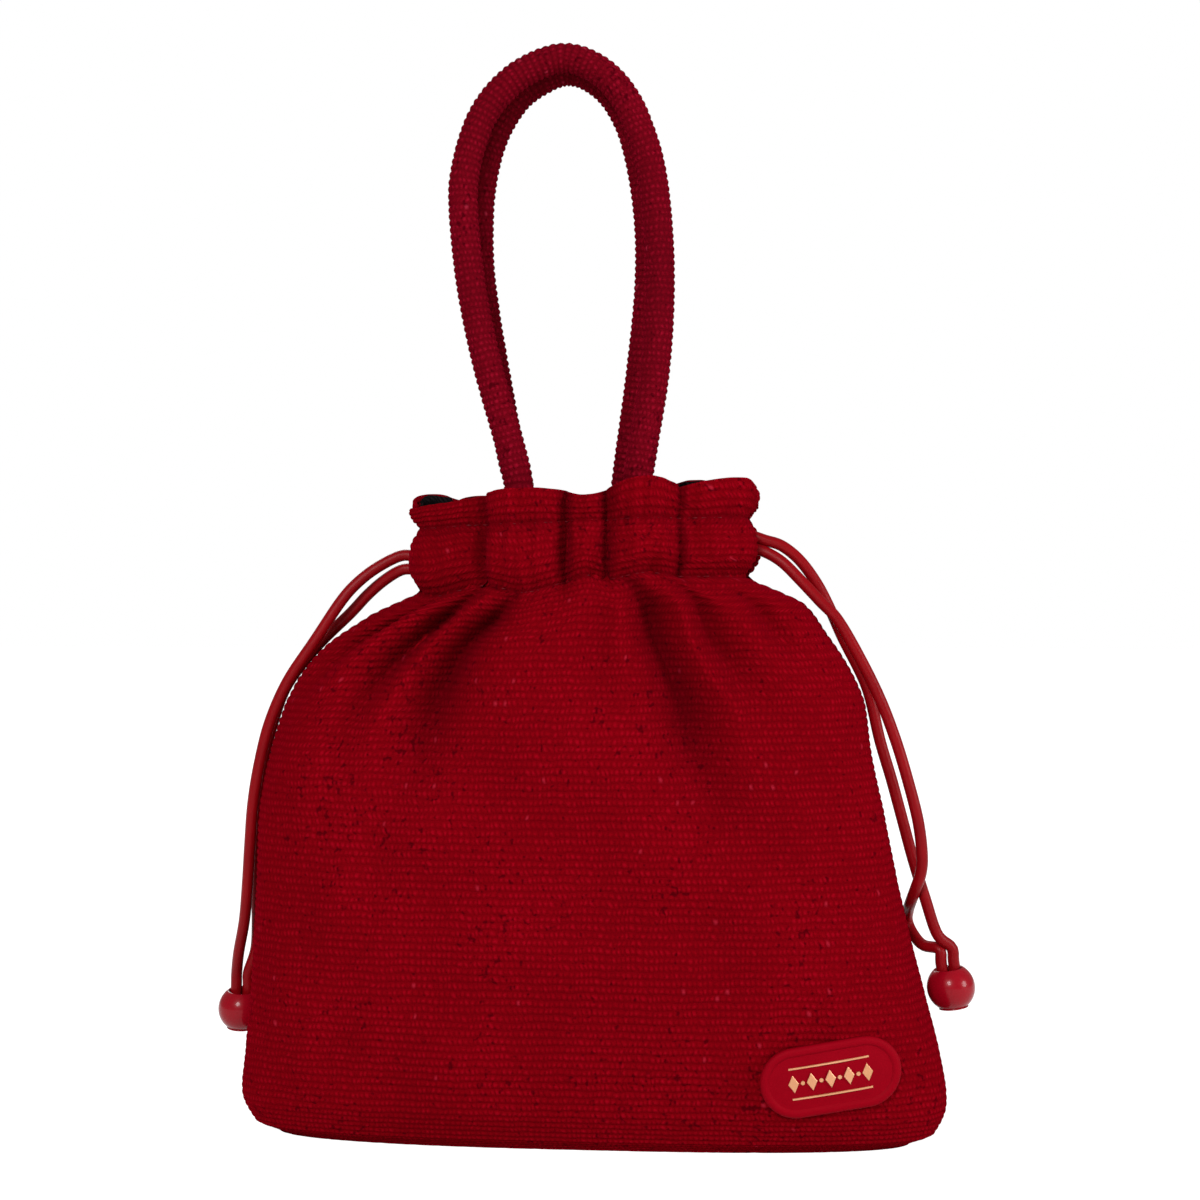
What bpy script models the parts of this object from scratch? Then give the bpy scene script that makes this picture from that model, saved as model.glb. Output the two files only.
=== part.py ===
"""Drawstring pouch bag of ribbed chenille cloth, in metres, +Z up.

The bag stands on its flattened bottom. Its mouth is gathered by two drawcords that run in a casing
below the header, each leaving by a slit in one side seam. The front faces -Y.
"""

import math

import bmesh
import bpy
from mathutils import Vector

# Pouch body
BASE_WIDTH = 0.2432
BODY_HEIGHT = 0.1920
BELLY_DEPTH = 0.0780
CLOTH_THICKNESS = 0.0022
SEAM_GAP = 0.0003
FIT_GAP = 0.0003

# Mouth: the smooth ring at the floor of the gathers, seen from above
MOUTH_WIDTH = 0.1100
MOUTH_DEPTH = 0.0520
MOUTH_OFFSET = -0.0025
MOUTH_TILT = 0.0015
TILT_REACH = 0.0600
GATHER_HEIGHT = 0.0078
GATHER_AT_STITCH = 0.54
CASING_HEIGHT = 0.0195
HEADER_HEIGHT = 0.0090
FACING_THICKNESS = 0.0010
LINING_THICKNESS = 0.0006
LINING_PLAY = 0.0022
LINING_TUCK = 0.0012
LINING_FOLD_FROM = 0.55
LINING_FOLD_FULL = 0.80
LINING_FOOT_PLAY = 0.4
LINING_FOOT_REACH = 0.12

# Drawcords and their beads
CORD_DIAMETER = 0.0040
CORD_SPACING = 0.0044
CORD_PLAY = 0.0003
CORD_LEVEL = 0.0071
CORD_BEND_PLAY = 0.0014
CORD_SEGMENT = 2.4
SLIT_WIDTH = 0.0096
SLIT_PLAY = 0.0009
BEAD_DIAMETER = 0.0165
BEAD_FLAT = 0.0012
BEAD_STOP = 0.0030
BEAD_LIP = 0.0002
BEAD_STEPS = 8
BEAD_SIDES = 16

# Handles
HANDLE_DIAMETER = 0.0104
HANDLE_WALL = 0.0016
HANDLE_FOOT_DEPTH = 0.0080
HANDLE_SEAT_GAP = 0.0010
HANDLE_TOP_GAP = 0.0006
HANDLE_SEGMENT = 1.9
HANDLE_SEAT_AT = 0.2

# Badge
BADGE_WIDTH = 0.0456
BADGE_HEIGHT = 0.0232
BADGE_THICKNESS = 0.0024
BADGE_RIM_WIDTH = 0.0034
BADGE_RECESS = 0.0009
BADGE_SEGMENTS = 24
BADGE_INNER_RINGS = (0.20, 0.45)  # shares of the height, the rings that close the back
BADGE_FIELD_RINGS = (0.22, 0.45)  # the same for the sunk field in front
BADGE_FOOT_ROUND = 0.0003
BADGE_SIDE_RISE = 0.40  # share of the thickness
BADGE_EDGE_IN = 0.0007
BADGE_EDGE_DOWN = 0.0003
BADGE_RIM_TOP = (0.25, 0.80)  # shares of the rim width, where its flat top starts and ends
BADGE_RIM_FALL = 0.0001
BADGE_CENTRE_X = 0.3335 * BASE_WIDTH
BADGE_CENTRE_Z = 0.0294
BADGE_TILT = math.radians(8.5)
FACE_STEP = 0.0010

# Steps between two listed points when a smooth curve is measured
SMOOTH_STEPS = 12

# Outline of the standing pouch, from the bottom to the lower stitch line of the casing. Each station
# is (share of the body's height, left and right reach as shares of half the base width, depth as a
# share of the belly's depth, squareness of the section).
OUTLINE = (
    (0.000, 0.900, 0.900, 0.56, 2.6),
    (0.022, 0.965, 0.968, 0.70, 3.0),
    (0.073, 1.000, 1.000, 0.86, 3.2),
    (0.156, 0.988, 0.984, 0.95, 3.3),
    (0.250, 0.973, 0.948, 0.99, 3.2),
    (0.354, 0.964, 0.906, 1.00, 3.0),
    (0.458, 0.959, 0.868, 1.00, 2.8),
    (0.594, 0.951, 0.827, 0.98, 2.6),
    (0.688, 0.924, 0.795, 0.95, 2.5),
    (0.781, 0.880, 0.775, 0.91, 2.4),
    (0.839, 0.830, 0.733, 0.88, 2.3),
    (0.896, 0.750, 0.672, 0.85, 2.2),
    (0.953, 0.633, 0.604, 0.82, 2.1),
)

# Gathers of the casing and header: (angle where the lobe ends, bulge share, rise of the rim above the
# header's height). Angles run from the right side seam over the front to the left one, then the back.
LOBES = (
    (52.0, 0.80, 0.0034),
    (79.5, 0.95, 0.0040),
    (93.5, 0.60, -0.0016),
    (124.0, 1.00, 0.0012),
    (180.0, 0.80, -0.0030),
    (214.0, 0.80, 0.0034),
    (243.0, 0.95, 0.0022),
    (262.0, 0.70, -0.0006),
    (294.0, 1.00, 0.0024),
    (326.0, 0.85, 0.0056),
    (360.0, 0.75, 0.0020),
)
SEAM_BULGE = 0.385
SEAM_BULGE_FROM = 0.80
LOBE_SHAPE = 0.55
RIM_SHAPE = 0.8
LOBE_FOOT = 0.72
LOBE_FULL_AT = 0.4
RIM_FLARE = 0.22

# Creases that fan out below the casing: (angle at the stitch line, drift in degrees over the reach,
# depth, half width in degrees, reach down the cloth).
CREASES = (
    (40.0, -6.0, 0.0060, 3.6, 0.036),
    (59.0, -3.0, 0.0085, 3.8, 0.055),
    (73.5, -7.5, 0.0120, 4.4, 0.100),
    (84.0, 3.0, 0.0045, 3.2, 0.056),
    (111.0, 3.0, 0.0120, 4.2, 0.088),
    (123.5, 11.0, 0.0105, 4.0, 0.064),
    (146.0, 11.0, 0.0070, 4.4, 0.048),
    (212.0, -6.0, 0.0075, 4.4, 0.048),
    (236.0, -5.0, 0.0110, 4.4, 0.078),
    (258.0, -2.0, 0.0080, 4.2, 0.056),
    (276.0, 2.0, 0.0080, 4.2, 0.052),
    (299.0, 5.0, 0.0115, 4.4, 0.088),
    (324.0, 6.0, 0.0080, 4.4, 0.050),
)
CREASE_AT_STITCH = 0.12
CREASE_PEAK = 0.014
CREASE_SPREAD = 1.3
CREASE_FADE_FROM = 0.35
CREASE_SHAPE = 1.6

# Rows of the casing and header as shares of the casing's and of the header's height, and how far the
# facing is tucked in behind the drawcords at each. The facing skips the row with None.
MOUTH_ROWS = ((0.0, 0.0), (0.18, 0.0), (0.50, 0.0), (0.80, 0.0), (1.0, 0.0), (1.0, 0.5), (1.0, 1.0))
FACING_TUCKED = (0.0, 1.0, None, 1.0, 0.0, 0.0, 0.0)

FRONT_COLUMNS = 44
BACK_COLUMNS = 28
BODY_ROWS = (0.0, 0.022, 0.073, 0.19, 0.34, 0.50, 0.64, 0.74, 0.81, 0.865, 0.91, 0.945, 0.975)
LINING_COLUMNS = 24
LINING_ROWS = (0.022, 0.073, 0.25, 0.50, 0.72, 0.84, 0.93)

# Middle line of the handles: (x, height above the rim, share of the way from the foot to the top).
FRONT_HANDLE_LINE = (
    (-0.0232, 0.0045, 0.00),
    (-0.0264, 0.0180, 0.09),
    (-0.0344, 0.0455, 0.28),
    (-0.0403, 0.0732, 0.46),
    (-0.0433, 0.1012, 0.65),
    (-0.0420, 0.1158, 0.76),
    (-0.0372, 0.1308, 0.86),
    (-0.0290, 0.1418, 0.93),
    (-0.0190, 0.1485, 0.98),
    (-0.0085, 0.1512, 1.00),
    (0.0015, 0.1478, 0.98),
    (0.0100, 0.1400, 0.93),
    (0.0167, 0.1275, 0.85),
    (0.0222, 0.1070, 0.71),
    (0.0246, 0.0760, 0.50),
    (0.0234, 0.0449, 0.28),
    (0.0195, 0.0177, 0.09),
    (0.0176, 0.0042, 0.00),
)
BACK_HANDLE_LINE = (
    (-0.0262, 0.0030, 0.00),
    (-0.0291, 0.0142, 0.08),
    (-0.0330, 0.0356, 0.23),
    (-0.0378, 0.0638, 0.42),
    (-0.0401, 0.0850, 0.56),
    (-0.0394, 0.1080, 0.71),
    (-0.0350, 0.1265, 0.84),
    (-0.0268, 0.1400, 0.93),
    (-0.0170, 0.1470, 0.98),
    (-0.0080, 0.1495, 1.00),
    (0.0010, 0.1462, 0.98),
    (0.0090, 0.1380, 0.92),
    (0.0150, 0.1240, 0.83),
    (0.0190, 0.1010, 0.67),
    (0.0194, 0.0760, 0.50),
    (0.0163, 0.0460, 0.30),
    (0.0118, 0.0142, 0.08),
    (0.0105, 0.0030, 0.00),
)

# A drawcord's stretch in the casing: angles of its two ends, for the right one, and its steps
CASING_ENDS = (22.0, 338.0)
CASING_STEPS = 18

# Turn of a strand out through its slit: (x outwards from the mouth's ring, y), from inside to outside
SLIT_TURN = ((-0.0042, -0.0056), (-0.0016, -0.0026), (0.0026, -0.0008))

# Heights above a bead's middle at which its two cord ends come together
BEAD_ENTRY = (0.0135, 0.0090, 0.0020)

# Free strands of the drawcords, from the slit to the bead, each point (x, y, z).
LEFT_FRONT_STRAND = (
    (-0.0660, -0.0005, 0.2006),
    (-0.0735, -0.0018, 0.1971),
    (-0.0803, -0.0035, 0.1920),
    (-0.0866, -0.0050, 0.1850),
    (-0.0957, -0.0068, 0.1710),
    (-0.1050, -0.0080, 0.1569),
    (-0.1112, -0.0085, 0.1428),
    (-0.1150, -0.0080, 0.1287),
    (-0.1176, -0.0070, 0.1146),
    (-0.1192, -0.0050, 0.1005),
    (-0.1207, -0.0025, 0.0864),
    (-0.1230, 0.0020, 0.0723),
    (-0.1266, 0.0080, 0.0600),
)
LEFT_BACK_STRAND = (
    (-0.0660, 0.0005, 0.1957),
    (-0.0725, 0.0015, 0.1922),
    (-0.0790, 0.0022, 0.1868),
    (-0.0850, 0.0025, 0.1805),
    (-0.0974, 0.0024, 0.1684),
    (-0.1080, 0.0024, 0.1546),
    (-0.1134, 0.0024, 0.1399),
    (-0.1168, 0.0026, 0.1260),
    (-0.1188, 0.0032, 0.1120),
    (-0.1196, 0.0047, 0.0980),
    (-0.1199, 0.0067, 0.0840),
    (-0.1202, 0.0088, 0.0700),
    (-0.1213, 0.0110, 0.0600),
)
RIGHT_FRONT_STRAND = (
    (0.0600, -0.0005, 0.2016),
    (0.0660, -0.0020, 0.1980),
    (0.0722, -0.0032, 0.1918),
    (0.0790, -0.0038, 0.1845),
    (0.0850, -0.0040, 0.1780),
    (0.0928, -0.0042, 0.1644),
    (0.0994, -0.0044, 0.1507),
    (0.1045, -0.0045, 0.1371),
    (0.1086, -0.0045, 0.1234),
    (0.1120, -0.0042, 0.1098),
    (0.1134, -0.0034, 0.0985),
    (0.1131, -0.0020, 0.0920),
    (0.1116, 0.0004, 0.0865),
    (0.1104, 0.0060, 0.0813),
    (0.1099, 0.0134, 0.0770),
    (0.1098, 0.0172, 0.0726),
    (0.1116, 0.0154, 0.0684),
    (0.1148, 0.0108, 0.0652),
)
RIGHT_BACK_STRAND = (
    (0.0600, 0.0005, 0.2056),
    (0.0660, 0.0008, 0.2036),
    (0.0722, 0.0012, 0.1985),
    (0.0780, 0.0016, 0.1905),
    (0.0826, 0.0018, 0.1815),
    (0.0868, 0.0018, 0.1720),
    (0.0950, 0.0018, 0.1550),
    (0.0994, 0.0018, 0.1370),
    (0.1034, 0.0020, 0.1234),
    (0.1071, 0.0026, 0.1097),
    (0.1108, 0.0036, 0.0960),
    (0.1150, 0.0044, 0.0824),
    (0.1192, 0.0052, 0.0700),
)
LEFT_BEAD_PLACE = (-0.1272, 0.0140, 0.0385)
LEFT_BEAD_AXIS = (0.06, -0.12, 1.0)
RIGHT_BEAD_PLACE = (0.1240, 0.0070, 0.0515)
RIGHT_BEAD_AXIS = (-0.14, -0.02, 1.0)

RED_CHENILLE = ("red_chenille", (0.178, 0.001, 0.003), 0.9, 0.0)
BLACK_CHENILLE = ("black_chenille", (0.010, 0.009, 0.010), 0.95, 0.0)
BLACK_LINING = ("black_lining", (0.012, 0.011, 0.012), 0.7, 0.0)
RED_CORD = ("red_cord", (0.250, 0.004, 0.010), 0.45, 0.0)
RED_BEAD = ("red_bead", (0.300, 0.004, 0.012), 0.15, 0.0)
CORE_COTTON = ("core_cotton", (0.600, 0.560, 0.500), 0.9, 0.0)
BADGE_RED = ("badge_red", (0.290, 0.002, 0.008), 0.5, 0.0)


def clearScene():
    for old in list(bpy.data.objects):
        bpy.data.objects.remove(old, do_unlink=True)


def makeCollection(name):
    collection = bpy.data.collections.new(name)
    bpy.context.scene.collection.children.link(collection)
    return collection


def makeMaterial(name, colour, roughness, metallic):
    material = bpy.data.materials.get(name) or bpy.data.materials.new(name)
    material.use_nodes = True
    shader = material.node_tree.nodes["Principled BSDF"]
    shader.inputs["Base Color"].default_value = (*colour, 1.0)
    shader.inputs["Roughness"].default_value = roughness
    shader.inputs["Metallic"].default_value = metallic
    return material


def addObject(name, data, collection, finish):
    obj = bpy.data.objects.new(name, data)
    data.materials.append(makeMaterial(*finish))
    collection.objects.link(obj)
    return obj


def smoothStep(value, low, high):
    share = min(1.0, max(0.0, (value - low) / (high - low)))
    return share * share * (3.0 - 2.0 * share)


def catmullRom(a, b, c, d, share):
    """One number on the smooth curve from b to c."""
    return 0.5 * (
        2.0 * b
        + (c - a) * share
        + (2.0 * a - 5.0 * b + 4.0 * c - d) * share**2
        + (3.0 * b - a - 3.0 * c + d) * share**3
    )


def along(points, place):
    """The point at place, counted in points, on a smooth curve through points."""
    last = len(points) - 1
    first = min(last - 1, max(0, int(place)))
    share = place - first
    before = points[max(0, first - 1)]
    after = points[min(last, first + 2)]
    return tuple(
        catmullRom(a, b, c, d, share)
        for a, b, c, d in zip(before, points[first], points[first + 1], after)
    )


def evenly(points, spacing):
    """Points about spacing apart on a smooth curve through points."""
    steps = SMOOTH_STEPS * (len(points) - 1)
    fine = [Vector(along(points, i / SMOOTH_STEPS)) for i in range(steps + 1)]
    total = sum((b - a).length for a, b in zip(fine, fine[1:]))
    count = max(2, round(total / spacing))
    found = [fine[0]]
    travelled = 0.0
    for a, b in zip(fine, fine[1:]):
        step = (b - a).length
        while len(found) < count and travelled + step >= total * len(found) / count:
            found.append(a.lerp(b, (total * len(found) / count - travelled) / step))
        travelled += step
    return found + [fine[-1]]


# Heights that follow from the sizes above
STITCH_Z = BODY_HEIGHT
TOPSTITCH_Z = STITCH_Z + CASING_HEIGHT
RIM_Z = TOPSTITCH_Z + HEADER_HEIGHT
CORD_Z = STITCH_Z + CORD_LEVEL


def outlineAt(z):
    """Left and right reach, half depth and squareness of the plain section at a height."""
    half = BASE_WIDTH / 2
    stations = [
        (h * BODY_HEIGHT, -left * half, right * half, depth * BELLY_DEPTH / 2, power)
        for h, left, right, depth, power in OUTLINE
    ]
    ring = MOUTH_WIDTH / 2 + GATHER_AT_STITCH * GATHER_HEIGHT
    deep = MOUTH_DEPTH / 2 + GATHER_AT_STITCH * GATHER_HEIGHT
    stations.append((STITCH_Z, MOUTH_OFFSET - ring, MOUTH_OFFSET + ring, deep, 2.0))
    heights = [station[0] for station in stations]
    z = min(max(z, 0.0), STITCH_Z)
    first = max(i for i in range(len(heights) - 1) if heights[i] <= z)
    share = (z - heights[first]) / (heights[first + 1] - heights[first])
    return along(stations, first + share)[1:]


def sectionPoint(left, right, deep, power, angle):
    """Point and outward direction, seen from above, on a section at an angle from the right seam."""
    middle = (left + right) / 2
    half = (right - left) / 2
    cosine = math.cos(angle)
    sine = math.sin(angle)
    x = middle + half * math.copysign(abs(cosine) ** (2.0 / power), cosine)
    y = -deep * math.copysign(abs(sine) ** (2.0 / power), sine)
    out = Vector((cosine / half, -sine / deep, 0.0)).normalized()
    return Vector((x, y, 0.0)), out


def lobeBulge(angle):
    """Share of the gather height at an angle, and the rise of the rim there."""
    degrees = math.degrees(angle) % 360.0
    start = 0.0
    for end, bulge, rise in LOBES:
        if degrees <= end:
            break
        start = end
    share = (degrees - start) / (end - start)
    swell = bulge * math.sin(math.pi * share) ** LOBE_SHAPE
    side = max(0.0, abs(math.cos(angle)) - SEAM_BULGE_FROM) / (1.0 - SEAM_BULGE_FROM)
    swell = max(swell, SEAM_BULGE * side)
    return swell, rise * math.sin(math.pi * share) ** RIM_SHAPE


def creaseDepth(angle, down):
    """How far the creases below the casing press the cloth in, at a distance down from it."""
    degrees = math.degrees(angle) % 360.0
    total = 0.0
    for place, drift, depth, width, reach in CREASES:
        if down >= reach:
            continue
        run = down / reach
        middle = place + drift * run
        wide = width * (1.0 + CREASE_SPREAD * run)
        strength = CREASE_AT_STITCH + (1.0 - CREASE_AT_STITCH) * smoothStep(down, 0.0, CREASE_PEAK)
        fade = 1.0 - smoothStep(down, CREASE_FADE_FROM * reach, reach)
        across = math.exp(-abs((degrees - middle) / wide) ** CREASE_SHAPE)
        total = max(total, depth * strength * fade * across)
    return total


def bodyPoint(angle, z):
    """Outer surface of the panels below the lower stitch line."""
    left, right, deep, power = outlineAt(z)
    place, out = sectionPoint(left, right, deep, power, angle)
    down = STITCH_Z - z
    place -= out * creaseDepth(angle, down)
    lift = MOUTH_TILT * math.cos(angle) * (1.0 - smoothStep(down, 0.0, TILT_REACH))
    return Vector((place.x, place.y, z + lift))


def mouthPoint(angle, up):
    """Outer surface of the casing and header, up being the height above the lower stitch line."""
    half = MOUTH_WIDTH / 2
    place, out = sectionPoint(
        MOUTH_OFFSET - half, MOUTH_OFFSET + half, MOUTH_DEPTH / 2, 2.0, angle
    )
    swell, rise = lobeBulge(angle)
    full = CASING_HEIGHT + HEADER_HEIGHT
    growth = LOBE_FOOT + (1.0 - LOBE_FOOT) * smoothStep(up, 0.0, LOBE_FULL_AT * CASING_HEIGHT)
    flare = RIM_FLARE * smoothStep(up, CASING_HEIGHT, full)
    place += out * GATHER_HEIGHT * swell * (growth + flare)
    if up > CASING_HEIGHT:
        up += rise * (up - CASING_HEIGHT) / HEADER_HEIGHT
    return Vector((place.x, place.y, STITCH_Z + up + MOUTH_TILT * math.cos(angle)))


def columnAngles():
    """Angles of the mesh columns, none of them on a side seam."""
    front = [math.pi * (i + 0.5) / FRONT_COLUMNS for i in range(FRONT_COLUMNS)]
    back = [math.pi + math.pi * (i + 0.5) / BACK_COLUMNS for i in range(BACK_COLUMNS)]
    return front + back


def ringSurface(rows, closed_bottom):
    """A mesh through rings of points, its faces pointing out, with a flat bottom if asked for."""
    shape = bmesh.new()
    rings = [[shape.verts.new(point) for point in row] for row in rows]
    count = len(rings[0])
    for low, high in zip(rings, rings[1:]):
        for i in range(count):
            j = (i + 1) % count
            shape.faces.new((low[j], low[i], high[i], high[j]))
    if closed_bottom:
        shape.faces.new(rings[0])
    bmesh.ops.recalc_face_normals(shape, faces=shape.faces)
    mesh = bpy.data.meshes.new("rings")
    shape.to_mesh(mesh)
    shape.free()
    return mesh


def thicken(obj, thickness):
    wall = obj.modifiers.new("Wall", "SOLIDIFY")
    wall.thickness = thickness
    wall.offset = -1.0
    wall.use_even_offset = False


def cutBy(obj, cutter, operation):
    step = obj.modifiers.new("Cut", "BOOLEAN")
    step.object = cutter
    step.operation = operation
    step.solver = "EXACT"


def boxCutter(name, low, high, collection):
    bpy.ops.mesh.primitive_cube_add(size=1.0)
    cutter = bpy.context.object
    cutter.name = name
    cutter.location = [(a + b) / 2 for a, b in zip(low, high)]
    cutter.scale = [b - a for a, b in zip(low, high)]
    for other in list(cutter.users_collection):
        other.objects.unlink(cutter)
    collection.objects.link(cutter)
    cutter.hide_render = True
    cutter.display_type = "WIRE"
    return cutter


def slitCutter(name, side, middle_z, collection):
    """The opening in a side seam that both ends of one drawcord pass through."""
    reach = MOUTH_WIDTH / 2 + 3 * GATHER_HEIGHT
    inner = MOUTH_WIDTH / 2 - CLOTH_THICKNESS - CORD_DIAMETER / 2
    half_height = CORD_SPACING / 2 + CORD_DIAMETER / 2 + SLIT_PLAY
    half_width = SLIT_WIDTH / 2
    ends = sorted((MOUTH_OFFSET + side * inner, MOUTH_OFFSET + side * reach))
    return boxCutter(
        name,
        (ends[0], -half_width, middle_z - half_height),
        (ends[1], half_width, middle_z + half_height),
        collection,
    )


def strandHeights():
    """Heights of the drawcords in the casing at the side seams."""
    low = CORD_Z - CORD_SPACING / 2
    return low, low + CORD_SPACING, low + 2 * CORD_SPACING


def buildPanels(parts, cutters):
    """Both panels. It gives the outer points of the casing and header, with their normals."""
    angles = columnAngles()
    rows = [[bodyPoint(a, share * BODY_HEIGHT) for a in angles] for share in BODY_ROWS]
    heights = [casing * CASING_HEIGHT + header * HEADER_HEIGHT for casing, header in MOUTH_ROWS]
    rows += [[mouthPoint(a, up) for a in angles] for up in heights]
    low, middle, high = strandHeights()
    slits = (
        slitCutter("left_slit_cutter", -1, (low + middle) / 2 - MOUTH_TILT, cutters),
        slitCutter("right_slit_cutter", 1, (middle + high) / 2 + MOUTH_TILT, cutters),
    )
    reach = BASE_WIDTH
    for name, sign in (("front_panel", -1), ("back_panel", 1)):
        panel = addObject(name, ringSurface(rows, True), parts, RED_CHENILLE)
        thicken(panel, CLOTH_THICKNESS)
        ends = sorted((sign * SEAM_GAP / 2, sign * reach))
        half = boxCutter(
            name + "_half_cutter", (-reach, ends[0], -reach), (reach, ends[1], 2 * reach), cutters
        )
        cutBy(panel, half, "INTERSECT")
        for slit in slits:
            cutBy(panel, slit, "DIFFERENCE")
    surface = ringSurface(rows, True)
    outer = [(vertex.co.copy(), vertex.normal.copy()) for vertex in surface.vertices]
    first = len(BODY_ROWS) * len(angles)
    return [outer[i : i + len(angles)] for i in range(first, len(outer), len(angles))]


def facingPoint(outer, normal, angle, tucked):
    """Outer surface of the facing: against the panel, or tucked in behind the drawcords."""
    level = Vector((normal.x, normal.y, 0.0))
    against = outer - level * (CLOTH_THICKNESS + 2 * FIT_GAP) / level.length_squared
    behind = CLOTH_THICKNESS + 2 * CORD_PLAY + CORD_DIAMETER + FIT_GAP
    half = MOUTH_WIDTH / 2 - behind - CORD_BEND_PLAY
    place, _ = sectionPoint(
        MOUTH_OFFSET - half, MOUTH_OFFSET + half, MOUTH_DEPTH / 2 - behind, 2.0, angle
    )
    place.z = against.z
    return against.lerp(place, tucked)


def buildFacing(mouth, parts):
    """The facing inside the casing and header, mouth being the panels' rows there with their normals."""
    angles = columnAngles()
    rows = []
    for row, tucked in zip(mouth, FACING_TUCKED):
        if tucked is not None:
            rows.append([facingPoint(*at, angle, tucked) for at, angle in zip(row, angles)])
    facing = addObject("mouth_facing", ringSurface(rows, False), parts, BLACK_CHENILLE)
    thicken(facing, FACING_THICKNESS)


def liningPoint(angle, share):
    """Outer surface of the lining, clear of the creases of the panels."""
    z = share * BODY_HEIGHT
    left, right, deep, power = outlineAt(z)
    deepest = max(depth for _, _, depth, _, _ in CREASES)
    fold = smoothStep(share, LINING_FOLD_FROM, LINING_FOLD_FULL)
    inward = CLOTH_THICKNESS + LINING_PLAY + deepest * fold
    inward *= 1.0 + LINING_FOOT_PLAY * (1.0 - smoothStep(share, 0.0, LINING_FOOT_REACH))
    place, _ = sectionPoint(left + inward, right - inward, deep - inward, power, angle)
    place.z = z + MOUTH_TILT / 2 * math.cos(angle) * fold
    return place


def buildLining(parts):
    angles = [2 * math.pi * (i + 0.5) / LINING_COLUMNS for i in range(LINING_COLUMNS)]
    bottom = []
    for angle in angles:
        place = liningPoint(angle, 0.0)
        place.z = CLOTH_THICKNESS + FIT_GAP
        bottom.append(place)
    rows = [bottom] + [[liningPoint(a, share) for a in angles] for share in LINING_ROWS]
    inward = CLOTH_THICKNESS + 2 * FIT_GAP + LINING_TUCK
    half = MOUTH_WIDTH / 2 - inward
    top = []
    for angle in angles:
        place, _ = sectionPoint(
            MOUTH_OFFSET - half, MOUTH_OFFSET + half, MOUTH_DEPTH / 2 - inward, 2.0, angle
        )
        place.z = STITCH_Z - FIT_GAP + MOUTH_TILT * math.cos(angle)
        top.append(place)
    rows.append(top)
    lining = addObject("lining", ringSurface(rows, True), parts, BLACK_LINING)
    thicken(lining, LINING_THICKNESS)


def casingRun(side, near, far):
    """One drawcord inside the casing, from its slit over the front, all round to the slit again.

    It leaves its own seam at the height near, and runs at the height far from the other seam on."""
    inward = CLOTH_THICKNESS + CORD_PLAY + CORD_DIAMETER / 2
    half = MOUTH_WIDTH / 2 - inward
    deep = MOUTH_DEPTH / 2 - inward
    points = []
    first, last = CASING_ENDS if side > 0 else (180.0 - CASING_ENDS[0], 180.0 - CASING_ENDS[1])
    for i in range(CASING_STEPS + 1):
        share = i / CASING_STEPS
        degrees = first + (last - first) * share
        angle = math.radians(degrees)
        place, _ = sectionPoint(
            MOUTH_OFFSET - half, MOUTH_OFFSET + half, deep, 2.0, angle
        )
        turned = abs(180.0 - degrees) if side > 0 else degrees
        level = near + (far - near) * (1.0 - min(180.0, max(0.0, turned)) / 180.0)
        if math.sin(angle) < 0.0:
            level = far
        points.append((place.x, place.y, level + MOUTH_TILT * math.cos(angle)))
    return points


def slitPoints(side, z):
    """The turn of a strand from the casing out through the slit, from inside to outside."""
    wall = MOUTH_OFFSET + side * MOUTH_WIDTH / 2
    return [(wall + side * outwards, y, z) for outwards, y in SLIT_TURN]


def beadPoints(place, axis, side_step):
    """Where one cord end runs down into a bead, from above it to its stop."""
    up = Vector(axis).normalized()
    across = Vector((1.0, 0.0, 0.0))
    across = (across - up * across.dot(up)).normalized()
    start = Vector(place) + across * side_step
    heights = (*BEAD_ENTRY, BEAD_STOP - BEAD_DIAMETER / 2)
    return [tuple(start + up * height) for height in heights]


def buildDrawcord(name, side, near, far, front, back, bead, parts):
    place, axis = bead
    tilt = side * MOUTH_TILT
    beside = (CORD_DIAMETER + CORD_PLAY) / 2
    out_front = slitPoints(side, near + tilt)
    out_back = [(x, -y, z) for x, y, z in slitPoints(side, far + tilt)]
    route = list(reversed(beadPoints(place, axis, -beside)))
    route += list(reversed(front))
    route += list(reversed(out_front))
    route += casingRun(side, near, far)
    route += out_back
    route += list(back)
    route += beadPoints(place, axis, beside)
    points = evenly(route, CORD_SEGMENT * CORD_DIAMETER)
    curve = bpy.data.curves.new(name, "CURVE")
    curve.dimensions = "3D"
    curve.bevel_depth = CORD_DIAMETER / 2
    curve.bevel_resolution = 2
    curve.use_fill_caps = True
    spline = curve.splines.new("POLY")
    spline.points.add(len(points) - 1)
    for target, point in zip(spline.points, points):
        target.co = (*point, 1.0)
    addObject(name, curve, parts, RED_CORD)


def buildBead(name, place, axis, parts):
    """A ball with a flat underside, bored for the two cord ends."""
    radius = BEAD_DIAMETER / 2
    bore = CORD_DIAMETER + 2 * CORD_PLAY
    top = math.asin(bore / radius)
    bottom = math.pi - math.acos((radius - BEAD_FLAT) / radius)
    angles = [top + (bottom - top) * i / BEAD_STEPS for i in range(BEAD_STEPS + 1)]
    profile = [(radius * math.sin(a), radius * math.cos(a)) for a in angles]
    profile.append((bore, profile[-1][1]))
    profile.append((bore, profile[0][1] - BEAD_LIP))
    mesh = bpy.data.meshes.new(name)
    edges = [(i, (i + 1) % len(profile)) for i in range(len(profile))]
    mesh.from_pydata([(r, 0.0, z) for r, z in profile], edges, [])
    bead = addObject(name, mesh, parts, RED_BEAD)
    turn = bead.modifiers.new("Turn", "SCREW")
    turn.axis = "Z"
    turn.steps = BEAD_SIDES
    turn.render_steps = BEAD_SIDES
    turn.use_merge_vertices = True
    turn.merge_threshold = 0.00001
    turn.use_smooth_shade = True
    bead.location = place
    bead.rotation_euler = Vector(axis).to_track_quat("Z", "Y").to_euler()


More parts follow.
